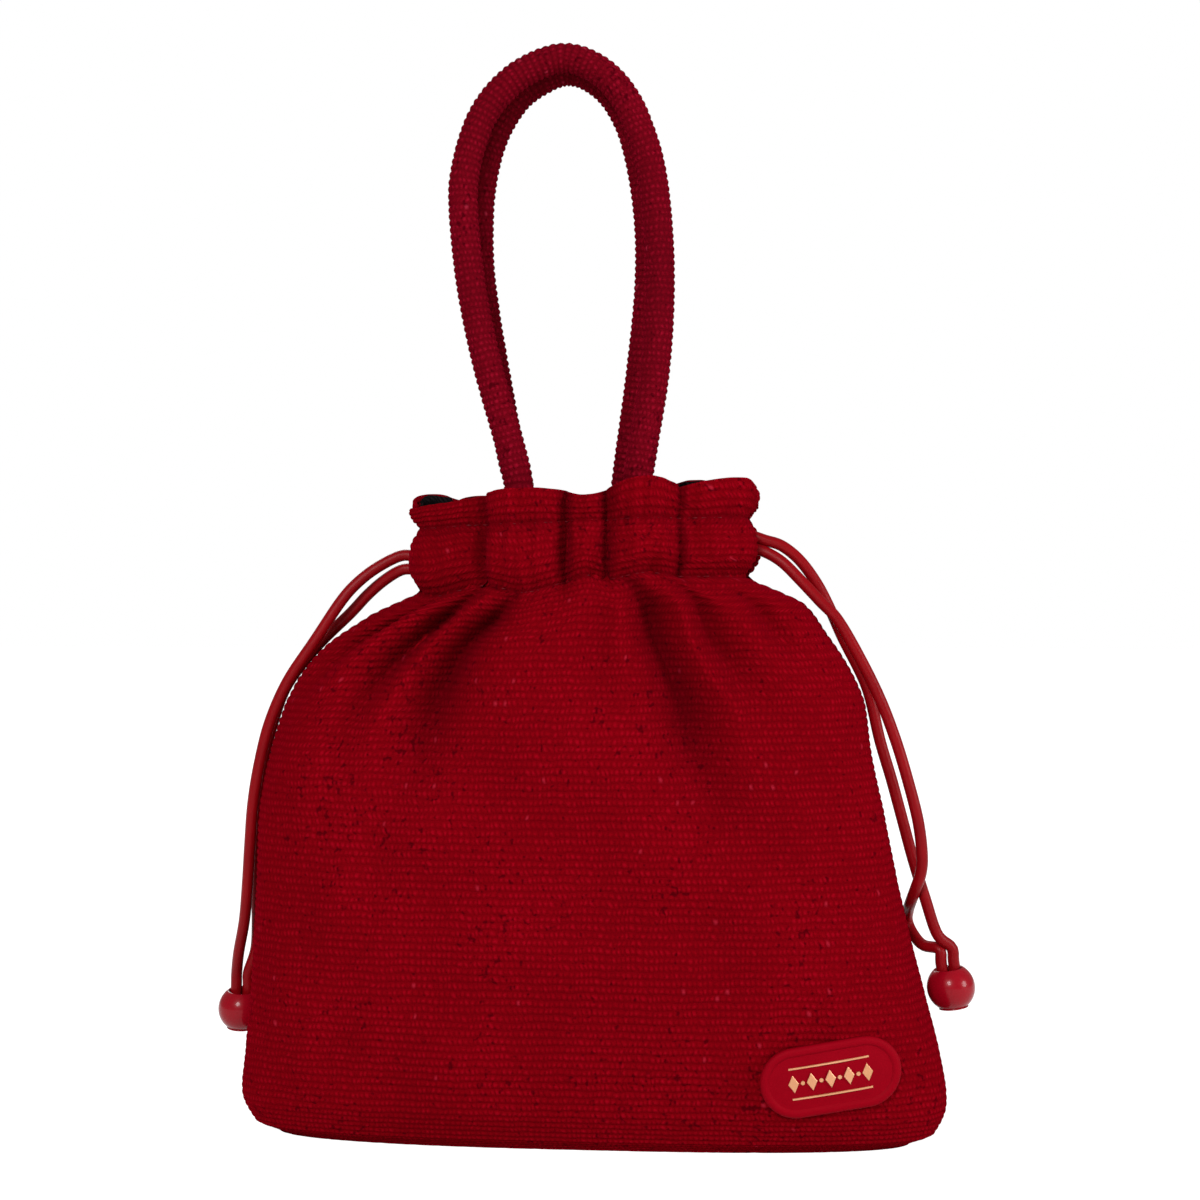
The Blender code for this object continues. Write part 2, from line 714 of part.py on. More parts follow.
def footPlace(x, side):
    """y of a handle's foot at an x, so that the tube lies against the facing inside the header."""
    reach = HANDLE_DIAMETER / 2 + HANDLE_SEAT_GAP + CLOTH_THICKNESS + FIT_GAP + FACING_THICKNESS
    found = []
    for i in range(360):
        at = mouthPoint(math.radians(i), CASING_HEIGHT + HANDLE_SEAT_AT * HEADER_HEIGHT)
        if at.y * side > 0 and abs(at.x - x) < reach:
            found.append(abs(at.y) - math.sqrt(reach**2 - (at.x - x) ** 2))
    return side * min(found)


def handleLine(line, side):
    """Points of a handle's middle line, from its sewn foot over the top to the other foot."""
    top_y = side * (HANDLE_DIAMETER + HANDLE_TOP_GAP) / 2
    feet_y = [footPlace(x, side) for x, _, _ in (line[0], line[-1])]
    points = []
    for x, height, share in line:
        foot_y = feet_y[0] if x < MOUTH_OFFSET else feet_y[1]
        points.append((x, foot_y + (top_y - foot_y) * share, RIM_Z + height))
    feet = [(x, y, RIM_Z - HANDLE_FOOT_DEPTH) for x, y, _ in (points[0], points[-1])]
    return evenly([feet[0], *points, feet[1]], HANDLE_SEGMENT * HANDLE_DIAMETER)


def tubeCurve(name, points, radius, sides_level, capped, parts, finish):
    """A round tube along points; its sides are four more than twice sides_level."""
    curve = bpy.data.curves.new(name, "CURVE")
    curve.dimensions = "3D"
    curve.bevel_depth = radius
    curve.bevel_resolution = sides_level
    curve.use_fill_caps = capped
    spline = curve.splines.new("POLY")
    spline.points.add(len(points) - 1)
    for target, point in zip(spline.points, points):
        target.co = (*point, 1.0)
    return addObject(name, curve, parts, finish)


def buildHandle(name, line, side, parts):
    points = handleLine(line, side)
    tube = tubeCurve(name, points, HANDLE_DIAMETER / 2, 2, False, parts, RED_CHENILLE)
    thicken(tube, HANDLE_WALL)
    flat_side = math.cos(math.pi / 8)  # an eight-sided tube's flats lie this share of its radius out
    core = (HANDLE_DIAMETER / 2 - HANDLE_WALL) * flat_side - FIT_GAP
    tubeCurve(name + "_core", points, core, 1, True, parts, CORE_COTTON)


def frontFace(x, z):
    """Point and outward direction of the smooth lower front, at an x and a height."""
    def place(px, pz):
        left, right, deep, power = outlineAt(pz)
        share = abs(px - (left + right) / 2) / ((right - left) / 2)
        return Vector((px, -deep * (1.0 - share**power) ** (1.0 / power), pz))

    across = place(x + FACE_STEP, z) - place(x - FACE_STEP, z)
    upward = place(x, z + FACE_STEP) - place(x, z - FACE_STEP)
    return place(x, z), across.cross(upward).normalized()


def badgePoint(across, up, lift):
    """A point on the badge, bent to the cloth: across and up in its own plane, lift off the cloth."""
    cosine = math.cos(BADGE_TILT)
    sine = math.sin(BADGE_TILT)
    x = BADGE_CENTRE_X + across * cosine - up * sine
    z = BADGE_CENTRE_Z + across * sine + up * cosine
    place, out = frontFace(x, z)
    return place + out * lift


def ovalRing(inset):
    """Outline of the badge, drawn in by inset: straight long sides with round ends."""
    half_width = BADGE_WIDTH / 2 - inset
    half_height = BADGE_HEIGHT / 2 - inset
    straight = half_width - half_height
    points = []
    for i in range(BADGE_SEGMENTS):
        angle = 2 * math.pi * (i + 0.5) / BADGE_SEGMENTS
        shift = math.copysign(straight, math.cos(angle))
        points.append((shift + half_height * math.cos(angle), half_height * math.sin(angle)))
    return points


def buildBadge(parts):
    foot = 3 * FIT_GAP
    face = foot + BADGE_THICKNESS
    rim = BADGE_RIM_WIDTH
    layers = (
        (BADGE_INNER_RINGS[1] * BADGE_HEIGHT, foot),
        (BADGE_INNER_RINGS[0] * BADGE_HEIGHT, foot),
        (BADGE_FOOT_ROUND, foot),
        (0.0, foot + BADGE_SIDE_RISE * BADGE_THICKNESS),
        (BADGE_EDGE_IN, face - BADGE_EDGE_DOWN),
        (BADGE_RIM_TOP[0] * rim, face),
        (BADGE_RIM_TOP[1] * rim, face - BADGE_RIM_FALL),
        (rim, face - BADGE_RECESS),
        (BADGE_FIELD_RINGS[0] * BADGE_HEIGHT, face - BADGE_RECESS),
        (BADGE_FIELD_RINGS[1] * BADGE_HEIGHT, face - BADGE_RECESS),
    )
    shape = bmesh.new()
    rings = []
    for inset, lift in layers:
        rings.append([shape.verts.new(badgePoint(a, b, lift)) for a, b in ovalRing(inset)])
    for low, high in zip(rings, rings[1:]):
        for i in range(BADGE_SEGMENTS):
            j = (i + 1) % BADGE_SEGMENTS
            shape.faces.new((low[i], low[j], high[j], high[i]))
    for ring in (rings[0], rings[-1]):
        for i in range(BADGE_SEGMENTS // 2 - 1):
            j = BADGE_SEGMENTS - 1 - i
            shape.faces.new((ring[i], ring[i + 1], ring[j - 1], ring[j]))
    bmesh.ops.recalc_face_normals(shape, faces=shape.faces)
    mesh = bpy.data.meshes.new("badge")
    shape.to_mesh(mesh)
    shape.free()
    addObject("badge", mesh, parts, BADGE_RED)


def main():
    clearScene()
    parts = makeCollection("drawstring_pouch_bag")
    cutters = makeCollection("cutters")
    mouth = buildPanels(parts, cutters)
    buildFacing(mouth, parts)
    buildLining(parts)
    low, middle, high = strandHeights()
    left_bead = (LEFT_BEAD_PLACE, LEFT_BEAD_AXIS)
    right_bead = (RIGHT_BEAD_PLACE, RIGHT_BEAD_AXIS)
    buildDrawcord(
        "left_drawcord", -1, middle, low, LEFT_FRONT_STRAND, LEFT_BACK_STRAND, left_bead, parts
    )
    buildDrawcord(
        "right_drawcord", 1, middle, high, RIGHT_FRONT_STRAND, RIGHT_BACK_STRAND, right_bead, parts
    )
    buildBead("left_bead", *left_bead, parts)
    buildBead("right_bead", *right_bead, parts)
    buildHandle("front_handle", FRONT_HANDLE_LINE, -1, parts)
    buildHandle("back_handle", BACK_HANDLE_LINE, 1, parts)
    buildBadge(parts)


main()
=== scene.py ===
import math

import bmesh
import bpy
import numpy as np
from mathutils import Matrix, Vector


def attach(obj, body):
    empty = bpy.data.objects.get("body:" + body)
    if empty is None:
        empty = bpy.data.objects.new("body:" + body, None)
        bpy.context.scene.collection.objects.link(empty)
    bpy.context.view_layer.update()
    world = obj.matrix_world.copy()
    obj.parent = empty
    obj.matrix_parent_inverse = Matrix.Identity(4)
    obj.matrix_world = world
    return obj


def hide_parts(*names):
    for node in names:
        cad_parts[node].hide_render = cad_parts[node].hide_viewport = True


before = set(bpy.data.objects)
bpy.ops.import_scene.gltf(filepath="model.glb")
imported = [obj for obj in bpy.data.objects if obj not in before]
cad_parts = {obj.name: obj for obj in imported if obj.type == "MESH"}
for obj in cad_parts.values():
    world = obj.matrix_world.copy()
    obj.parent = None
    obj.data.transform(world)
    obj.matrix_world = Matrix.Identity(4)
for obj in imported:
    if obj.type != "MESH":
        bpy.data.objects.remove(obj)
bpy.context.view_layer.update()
print("frame loaded")


# the photograph's camera: metres, degrees, and pixels of its own 1200 px frame
cameraSetup = {
    "distance": 0.70,
    "height": 0.185,
    "azimuth": 5.0,
    "focalPixels": 2018.0,
    "framePixels": 1200.0,
    "originPixel": 591.0,
}


def linked(name, data):
    # a new object that is part of the scene
    made = bpy.data.objects.new(name, data)
    bpy.context.scene.collection.objects.link(made)
    return made


def makeCamera():
    turn = math.radians(cameraSetup["azimuth"])
    data = bpy.data.cameras.new("photoCamera")
    data.sensor_width = 36.0
    data.lens = data.sensor_width * cameraSetup["focalPixels"] / cameraSetup["framePixels"]
    data.shift_x = 0.5 - cameraSetup["originPixel"] / cameraSetup["framePixels"]
    camera = linked("photoCamera", data)
    away = cameraSetup["distance"]
    camera.location = (away * math.sin(turn), -away * math.cos(turn), cameraSetup["height"])
    camera.rotation_euler = (math.pi / 2, 0.0, turn)
    bpy.context.scene.camera = camera

# node trees, for shaders and for Geometry Nodes alike

def operator(operation, swapped=False):
    # the method for one sign of arithmetic; swapped, the wire stands to the right of the sign
    if swapped:
        return lambda wire, other: wire.maths(operation, other, wire)
    return lambda wire, other: wire.maths(operation, wire, other)


class Wire:
    # one output socket that sums can be written with
    def __init__(self, tree, socket):
        self.tree = tree
        self.socket = socket

    def maths(self, operation, *values):
        return self.tree.node("ShaderNodeMath", {"operation": operation}, dict(enumerate(values)))

    __add__, __radd__ = operator("ADD"), operator("ADD", True)
    __sub__, __rsub__ = operator("SUBTRACT"), operator("SUBTRACT", True)
    __mul__, __rmul__ = operator("MULTIPLY"), operator("MULTIPLY", True)
    __truediv__, __pow__ = operator("DIVIDE"), operator("POWER")
    __gt__, atLeast = operator("GREATER_THAN"), operator("MAXIMUM")

    def whole(self):
        return self.maths("FLOOR", self)

    def humps(self, least):
        # one rounded hump to each whole step
        turn = self.maths("FRACT", self) * math.pi
        return turn.maths("SINE", turn).atLeast(least)


class Tree:
    def __init__(self, tree):
        self.tree = tree
        self.tree.nodes.clear()

    def node(self, kind, settings=None, values=None, out=0):
        made = self.tree.nodes.new(kind)
        for key, value in (settings or {}).items():
            if key == "stops":
                ramp = made.color_ramp.elements
                while len(ramp) < len(value):
                    ramp.new(0.5)
                for stop, (place, colour) in zip(ramp, value):
                    stop.position = place
                    stop.color = (*colour, 1.0)
            else:
                setattr(made, key, value)
        for key, value in (values or {}).items():
            if isinstance(value, Wire):
                self.tree.links.new(value.socket, made.inputs[key])
            else:
                made.inputs[key].default_value = value
        return Wire(self, made.outputs[out] if len(made.outputs) else None)


def newShader(name):
    material = bpy.data.materials.new(name)
    material.use_nodes = True
    return material, Tree(material.node_tree)


def mixColours(tree, share, first, second):
    return tree.node("ShaderNodeMix", {"data_type": "RGBA"}, {0: share, 6: first, 7: second}, out=2)


def noise(tree, place, scale, detail):
    return tree.node("ShaderNodeTexNoise", None, {"Vector": place, "Scale": scale, "Detail": detail})


def finishShader(tree, relief, height, values):
    # relief holds the bump's strength and its depth in metres
    strength, depth = relief
    bump = tree.node("ShaderNodeBump", None, {"Strength": strength, "Distance": depth, "Height": height})
    shader = tree.node("ShaderNodeBsdfPrincipled", None, {**values, "Normal": bump})
    tree.node("ShaderNodeOutputMaterial", None, {0: shader})


def fromHex(text):
    # the linear colour of a display colour written as six hex digits
    shares = [int(text[i : i + 2], 16) / 255 for i in (0, 2, 4)]
    linear = [s / 12.92 if s <= 0.04045 else ((s + 0.055) / 1.055) ** 2.4 for s in shares]
    return (*linear, 1.0)


def newModifierTree(name, numbers):
    group = bpy.data.node_groups.new(name, "GeometryNodeTree")
    sockets = [("Geometry", "INPUT", "Geometry")] + [(label, "INPUT", "Float") for label in numbers]
    sockets += [("Material", "INPUT", "Material"), ("Geometry", "OUTPUT", "Geometry")]
    for label, way, kind in sockets:
        group.interface.new_socket(name=label, in_out=way, socket_type="NodeSocket" + kind)
    return group, Tree(group)


def groupInput(tree, label):
    source = next((n for n in tree.tree.nodes if n.type == "GROUP_INPUT"), None)
    source = source or tree.tree.nodes.new("NodeGroupInput")
    return Wire(tree, source.outputs[label])


def finishModifierTree(tree, geometry):
    solid = tree.node("GeometryNodeRealizeInstances", None, {0: geometry})
    painted = tree.node(
        "GeometryNodeSetMaterial", None, {"Geometry": solid, "Material": groupInput(tree, "Material")}
    )
    tree.node("NodeGroupOutput", None, {0: painted})


def applyModifierTree(piece, group, values):
    # runs the tree on a piece and keeps the result as its plain mesh
    step = piece.modifiers.new(group.name, "NODES")
    step.node_group = group
    for item in group.interface.items_tree:
        if item.in_out == "INPUT" and item.name in values:
            step[item.identifier] = values[item.name]
    keepResult(piece)


def keepResult(piece):
    bpy.context.view_layer.update()
    shown = piece.evaluated_get(bpy.context.evaluated_depsgraph_get())
    mesh = bpy.data.meshes.new_from_object(shown)
    piece.modifiers.clear()
    piece.data = mesh


def thicken(piece, thickness):
    # gives a surface its wall, towards the inside
    wall = piece.modifiers.new("wall", "SOLIDIFY")
    wall.thickness = thickness
    wall.offset = -1.0
    keepResult(piece)


# materials

chenilleLook = {
    "ribPitch": 0.00255,
    "nubPitch": 0.00176,
    "nubDepth": 0.60,  # share of a rib's height that the nubs break it by
    "nubVariety": 0.20,  # share of a nub's height that chance takes
    "nubSharpness": 1.5,
    "rowShift": 9.0,  # nubs that chance moves a rib along by, at most
    "relief": (0.55, 0.00055),
    "fuzzScale": 2300.0,
    "fuzzHeight": 0.5,
    "napScale": 24.0,
    "wanderScale": 150.0,
    "wander": 0.75,  # how far ribs stray, in ribs
    "nubWander": 2.0,
    # the tone on nubs is a painted highlight on the nub crests, with painted shade left between them
    "tone": (0.24, 0.30, 0.50, 0.8, 0.6),  # even, on nubs, by chance on nubs, by fuzz, by nap
    "toneStops": (0.05, 0.50, 1.0),
    "spotScale": 430.0,
    "spotsFrom": 0.64,  # above this much noise the pile is worn dark
    "spotsSpan": 0.10,
    "spotsByNap": 0.45,
    "spotDarkness": 0.65,
    "spotsOffNubs": 0.6,
    "lightSpecks": 0.004,  # share of the nubs that are pale
    "speckPaleness": 0.45,
    # how far the painted fold shade darkens the pile
    "paintedShadeStrength": 0.54,
    "roughness": 0.92,
    "sheenRoughness": 0.5,
}

# colour of worn spots and of painted fold shade, then dark, middle, bright and pale pile, then the sheen and
# its weight
chenilleColours = {
    "redChenille": ("300006", "600109", "72020b", "880414", "9c2436", "ff0838", 0.12),
    "handleChenille": ("300006", "50040e", "640512", "7e0a1e", "9c2c40", "ff1848", 0.12),
    "blackChenille": ("020202", "080708", "121011", "201c1e", "3c3639", "806870", 0.10),
}


def makeChenille(name):
    look = chenilleLook
    *colours, sheen = chenilleColours[name]
    # hole: the colour that worn spots and painted fold shade go to
    hole, dark, middle, bright, pale, sheenColour = map(fromHex, colours)
    material, tree = newShader(name)
    place = tree.node("ShaderNodeUVMap", {"uv_map": "cloth"})
    split = tree.node("ShaderNodeSeparateXYZ", None, {0: place})
    along, course = (Wire(tree, split.socket.node.outputs[i]) for i in (0, 1))
    spot = tree.node("ShaderNodeTexCoord", out=3)
    wander = noise(tree, spot, look["wanderScale"], 2.0)
    course = course + (wander - 0.5) * look["wander"]
    row, ridge = course.whole(), course.humps(0.001)
    rowShift = tree.node("ShaderNodeTexWhiteNoise", {"noise_dimensions": "1D"}, {"W": row})
    nubs = along / look["nubPitch"] + rowShift * look["rowShift"] + (wander - 0.5) * look["nubWander"]
    nub = nubs.humps(0.001)
    cell = tree.node("ShaderNodeCombineXYZ", None, {0: nubs.whole(), 1: row})
    chance = tree.node("ShaderNodeTexWhiteNoise", {"noise_dimensions": "2D"}, {"Vector": cell})
    fuzz = noise(tree, spot, look["fuzzScale"], 3.0)
    nap = noise(tree, spot, look["napScale"], 4.0)
    tuft = ridge * ((1.0 - look["nubDepth"]) + look["nubDepth"] * nub)
    core = nub ** look["nubSharpness"] * ridge ** look["nubSharpness"]
    height = tuft * ((1.0 - look["nubVariety"]) + look["nubVariety"] * chance)
    height = height + (fuzz - 0.5) * look["fuzzHeight"]
    even, nubHighlight, byChance, byFuzz, byNap = look["tone"]
    # tone: nub crests painted lighter and the valleys between ribs and nubs darker (painted highlight and
    # shade), plus tone that differs at random by chance, fuzz and nap
    tone = core * (nubHighlight + byChance * chance) + (fuzz - 0.5) * byFuzz + (nap - 0.5) * byNap + even
    stops = tuple(zip(look["toneStops"], (dark[:3], middle[:3], bright[:3])))
    colour = tree.node("ShaderNodeValToRGB", {"stops": stops}, {0: tone})
    speck = (chance > 1.0 - look["lightSpecks"]) * core
    colour = mixColours(tree, speck * look["speckPaleness"], colour, pale)
    spots = noise(tree, spot, look["spotScale"], 1.0) + (nap - 0.5) * look["spotsByNap"]
    spotsTo = look["spotsFrom"] + look["spotsSpan"]
    worn = tree.node(
        "ShaderNodeMapRange",
        {"interpolation_type": "SMOOTHSTEP"},
        {0: spots, 1: look["spotsFrom"], 2: spotsTo, 3: 0.0, 4: look["spotDarkness"]},
    )
    colour = mixColours(tree, worn * (1.0 - core * look["spotsOffNubs"]), colour, hole)
    # painted shade: the pile darkens in folds, between lobes, on stitch lines and under the casing
    paintedShade = tree.node("ShaderNodeAttribute", {"attribute_name": "foldShade"}, out=2)
    values = {
        "Base Color": mixColours(tree, paintedShade * look["paintedShadeStrength"], colour, hole),
        "Roughness": look["roughness"],
        "Specular IOR Level": 0.0,
        "Sheen Weight": sheen,
        "Sheen Roughness": look["sheenRoughness"],
        "Sheen Tint": sheenColour,
    }
    finishShader(tree, look["relief"], height, values)
    return material


cordLook = {
    "roughness": 0.36,
    "glossVariety": 0.15,
    "gleam": 0.10,
    "fibreLength": 260.0,
    "fibreWidth": 5200.0,
    "slant": 0.35,
    "fibreTone": 0.5,
    "patchScale": 60.0,
    "patchTone": 0.6,
    "relief": (0.35, 0.0002),
}


def makeSatin(name, colour, shade):
    # smooth satin cord: fine fibres that run a little slanted along it
    look = cordLook
    material, tree = newShader(name)
    place = tree.node("ShaderNodeUVMap", {"uv_map": "cloth"})
    stretch = (look["fibreWidth"], look["fibreLength"], 1.0)
    mapping = {"Vector": place, "Rotation": (0.0, 0.0, look["slant"]), "Scale": stretch}
    fibres = noise(tree, tree.node("ShaderNodeMapping", None, mapping), 1.0, 3.0)
    patches = noise(tree, tree.node("ShaderNodeTexCoord", out=3), look["patchScale"], 2.0)
    tone = (fibres - 0.5) * look["fibreTone"] + (patches - 0.5) * look["patchTone"] + 0.5
    values = {
        "Base Color": mixColours(tree, tone, fromHex(shade), fromHex(colour)),
        "Roughness": (fibres - 0.5) * look["glossVariety"] + look["roughness"],
        "Specular IOR Level": look["gleam"],
    }
    finishShader(tree, look["relief"], fibres, values)
    return material


mouldedLook = {"cloudScale": 90.0, "glossVariety": 0.12, "coatRoughness": 0.06, "grainDepth": 0.0001}


def makeMoulded(name, base, deep, roughness, grainScale, grain, gleam, coat=0.0, metallic=0.0):
    # moulded or foiled surface: slightly uneven colour and gloss, with a fine grain
    material, tree = newShader(name)
    spot = tree.node("ShaderNodeTexCoord", out=3)
    clouds = noise(tree, spot, mouldedLook["cloudScale"], 3.0)
    grains = noise(tree, spot, grainScale, 2.0)
    values = {
        "Base Color": mixColours(tree, clouds, fromHex(deep), fromHex(base)),
        "Metallic": metallic,
        "Roughness": (grains - 0.5) * mouldedLook["glossVariety"] + roughness,
        "Specular IOR Level": gleam,
        "Coat Weight": coat,
        "Coat Roughness": mouldedLook["coatRoughness"],
    }
    finishShader(tree, (grain, mouldedLook["grainDepth"]), grains, values)
    return material


plainLook = {"roughness": 0.8, "relief": (0.4, 0.0002)}


def makePlainCloth(name, base, deep, threadScale):
    # close plain weave for the hidden lining and the handles' filler
    material, tree = newShader(name)
    where = {"Vector": tree.node("ShaderNodeTexCoord", out=3), "Scale": threadScale}
    across, down = (
        tree.node("ShaderNodeTexWave", {"wave_type": "BANDS", "bands_direction": axis}, where, out=1)
        for axis in ("Z", "X")
    )
    weave = across * 0.5 + down * 0.5
    colour = mixColours(tree, weave, fromHex(deep), fromHex(base))
    values = {"Base Color": colour, "Roughness": plainLook["roughness"]}
    finishShader(tree, plainLook["relief"], weave, values)
    return material


# smooth curves through listed points

def smoothAt(table, place):
    # rows of the table read at places counted in rows, on a smooth curve through them
    table = np.asarray(table, float)
    last = len(table) - 1
    place = np.asarray(place, float)
    first = np.clip(place.astype(int), 0, last - 1)
    share = (place - first)[..., None]
    a, b = table[np.maximum(first - 1, 0)], table[first]
    c, d = table[first + 1], table[np.minimum(first + 2, last)]
    bend = (2 * a - 5 * b + 4 * c - d) * share**2 + (3 * b - a - 3 * c + d) * share**3
    return 0.5 * (2 * b + (c - a) * share + bend)


def finely(points, steps):
    # a smooth curve through the points, in so many steps from each to the next
    spans = len(points) - 1
    return smoothAt(points, np.linspace(0, spans, steps * spans + 1))


def travelled(points):
    # length along a line, at each of its points
    return np.concatenate([[0.0], np.cumsum(np.linalg.norm(np.diff(points, axis=0), axis=1))])


def evenPoints(points, spacing):
    fine = finely(points, 24)
    run = travelled(fine)
    wanted = np.linspace(0.0, run[-1], max(2, round(run[-1] / spacing)) + 1)
    return np.stack([np.interp(wanted, run, fine[:, i]) for i in range(3)], axis=1)


def smoothStep(value, low, high):
    share = np.clip((value - low) / (high - low), 0.0, 1.0)
    return share * share * (3.0 - 2.0 * share)


# meshes from grids of points

def newPiece(name, vertices, faces, uvs=None, floats=None):
    mesh = bpy.data.meshes.new(name)
    mesh.from_pydata(vertices.tolist(), [], faces)
    uvs = uvs or [[(0.0, 0.0)] * len(face) for face in faces]
    corners = np.array([uv for face in uvs for uv in face], np.float32)
    layer = mesh.uv_layers.new(name="cloth")
    layer.data.foreach_set("uv", corners.ravel())
    for label, values in (floats or {}).items():
        column = mesh.attributes.new(label, "FLOAT", "POINT")
        column.data.foreach_set("value", np.asarray(values, np.float32))
    mesh.shade_smooth()
    return linked(name, mesh)


def gridFaces(index, closed=False):
    rows, columns = index.shape
    faces = []
    for r in range(rows - 1):
        low, high = index[r].tolist(), index[r + 1].tolist()
        for c in range(columns if closed else columns - 1):
            d = (c + 1) % columns
            faces.append((low[d], low[c], high[c], high[d]))
    return faces


def zipRows(first, second):
    # triangles between two rows of vertices that hold different numbers of them
    faces = []
    i = j = 0
    while i < len(first) - 1 or j < len(second) - 1:
        ahead = (i + 1) / (len(first) - 1) <= (j + 1) / (len(second) - 1)
        if j == len(second) - 1 or (i < len(first) - 1 and ahead):
            faces.append((first[i], first[i + 1], second[j]))
            i += 1
        else:
            faces.append((first[i], second[j + 1], second[j]))
            j += 1
    return faces


def outward(mesh):
    shape = bmesh.new()
    shape.from_mesh(mesh)
    bmesh.ops.recalc_face_normals(shape, faces=shape.faces)
    shape.to_mesh(mesh)
    shape.free()


def buildRibTree():
    # presses the valleys between ribs into a surface whose points carry their course number
    group, tree = newModifierTree("chenilleRibs", ("Rib depth", "Unevenness", "Seed"))
    course, share = (
        tree.node("GeometryNodeInputNamedAttribute", {"data_type": "FLOAT"}, {"Name": label})
        for label in ("course", "ribShare")
    )
    lumps = tree.node(
        "ShaderNodeTexNoise",
        {"noise_dimensions": "4D"},
        {"W": groupInput(tree, "Seed"), "Scale": 380.0, "Detail": 2.0},
    )
    drop = (1.0 - course.humps(0.0)) + (lumps - 0.5) * groupInput(tree, "Unevenness")
    amount = drop.atLeast(0.0) * share * groupInput(tree, "Rib depth") * -1.0
    normal = tree.node("GeometryNodeInputNormal")
    offset = tree.node("ShaderNodeVectorMath", {"operation": "SCALE"}, {0: normal, "Scale": amount})
    moved = tree.node(
        "GeometryNodeSetPosition", None, {"Geometry": groupInput(tree, "Geometry"), "Offset": offset}
    )
    finishModifierTree(tree, moved)
    return group


def buildStitchTree():
    # rounded stitches along a line of edges
    group, tree = newModifierTree("threadStitches", ("Stitch pitch", "Stitch length", "Thread width"))
    line = tree.node("GeometryNodeMeshToCurve", None, {"Mesh": groupInput(tree, "Geometry")})
    spaced = tree.node(
        "GeometryNodeResampleCurve",
        {"mode": "LENGTH"},
        {"Curve": line, "Length": groupInput(tree, "Stitch pitch")},
    )
    tangent = tree.node("GeometryNodeInputTangent")
    turned = tree.node("FunctionNodeAlignRotationToVector", {"axis": "Z"}, {"Vector": tangent})
    stitch = tree.node("GeometryNodeMeshUVSphere", None, {"Segments": 6, "Rings": 5, "Radius": 0.5})
    width, length = groupInput(tree, "Thread width"), groupInput(tree, "Stitch length")
    size = tree.node("ShaderNodeCombineXYZ", None, {0: width, 1: width, 2: length})
    stitches = tree.node(
        "GeometryNodeInstanceOnPoints",
        None,
        {"Points": spaced, "Instance": stitch, "Rotation": turned, "Scale": size},
    )
    finishModifierTree(tree, stitches)
    return group


# pouch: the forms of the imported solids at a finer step, with fuller lobes, pillows between the
# creases, pinched stitch lines and slow unevenness

pouch = {
    "baseWidth": 0.2432,
    "bodyHeight": 0.1920,
    "bellyDepth": 0.0780,
    "cloth": 0.0022,
    "seamGap": 0.0003,
    "fitGap": 0.0003,
    "mouthWidth": 0.1100,
    "mouthDepth": 0.0520,
    "mouthOffset": -0.0025,
    "mouthTilt": 0.0015,
    "gather": 0.0078,
    "gatherAtStitch": 0.54,
    "casing": 0.0195,
    "header": 0.0090,
    "ribDepth": 0.00042,
    "unevenness": 1.1,
    "innerRows": 70,
    "innerColumns": 150,
    "outerColumns": 204,
    "columnsEvenAt": ((1.35, 0.6), (2.5, 0.4)),  # place on the cloth, weight
    "rowsPerRib": 4,
    "ribsCountedAt": 97.0,  # degrees round the bag
    "ribsFade": (3.1, 3.8),
    "bottomSeam": 0.94,  # length of the seam under the bag, as a share of the bottom's
    "rimRoll": 0.85,  # half turns of the cloth over the rim
    "closingFrom": 1.955,  # place where the body starts to close on the casing
    "tiltReach": 0.06,
    "pinch": 0.0015,  # how far a stitch line draws the cloth in
    "pinchWidth": 0.0026,
    "ripple": 0.0006,
    "ripplesFrom": 0.03,
    "slitWidth": 0.0096,
    "slitHeight": 0.0102,
}

mouthForm = {
    "puff": 1.45,  # how much fuller the lobes are than their solids
    "lobeRoundness": 0.60,
    "rimRoundness": 0.8,
    "seamBulge": 0.385,
    "seamFrom": 0.80,  # share of the way to the side where the seam's own bulge starts
    "seamSpan": 0.20,
    "growth": (0.72, 0.28, 0.4),  # at the stitch line, added above it, share of the casing it takes
    "flare": 0.30,
    "rippleShare": 1.2,
    "flopOut": 0.35,
}

creaseForm = {
    "atStitch": 0.12,
    "peak": 0.014,  # metres below the stitch line where a crease is deepest
    "widening": 1.3,
    "fadeFrom": 0.35,
    "sharpness": 1.6,
}

pillowForm = {
    "from": 0.0065,  # creases deeper than this bound the pillows of cloth between them
    "bulge": 0.0050,
    "full": 0.009,  # metres below the stitch line
    "sinks": (0.012, 0.075),
    "fullWidth": 24.0,
    "roundness": 0.8,
    "offSeam": (0.25, 0.6),
}

# painted shade in folds, between lobes and on the stitch lines, and a painted shadow just under the casing
paintedFoldShade = {
    "atStitch": 0.85,
    "power": 1.6,  # above 1, the dark keeps to the middle of a fold
    "valley": (0.9, 3.2),  # dark, half width in degrees
    "line": (0.55, 0.0020),
    "under": (0.85, 0.0030),
}

# weight, turn per radian, climb per metre and phase of each slow wave
rippleWaves = (
    (1.0, 7.3, 61.0, 0.0), (1.0, -12.1, 97.0, 1.3), (0.7, 23.0, 33.0, 4.1), (0.5, 5.0, -190.0, 0.0),
)

# share of the body's height, left and right reach, depth, squareness of the section
outline = (
    (0.000, 0.900, 0.900, 0.56, 2.6), (0.022, 0.965, 0.968, 0.70, 3.0), (0.073, 1.000, 1.000, 0.86, 3.2),
    (0.156, 0.988, 0.984, 0.95, 3.3), (0.250, 0.973, 0.948, 0.99, 3.2), (0.354, 0.964, 0.906, 1.00, 3.0),
    (0.458, 0.959, 0.868, 1.00, 2.8), (0.594, 0.951, 0.827, 0.98, 2.6), (0.688, 0.924, 0.795, 0.95, 2.5),
    (0.781, 0.880, 0.775, 0.91, 2.4), (0.839, 0.830, 0.733, 0.88, 2.3), (0.896, 0.750, 0.672, 0.85, 2.2),
    (0.953, 0.633, 0.604, 0.82, 2.1),
)

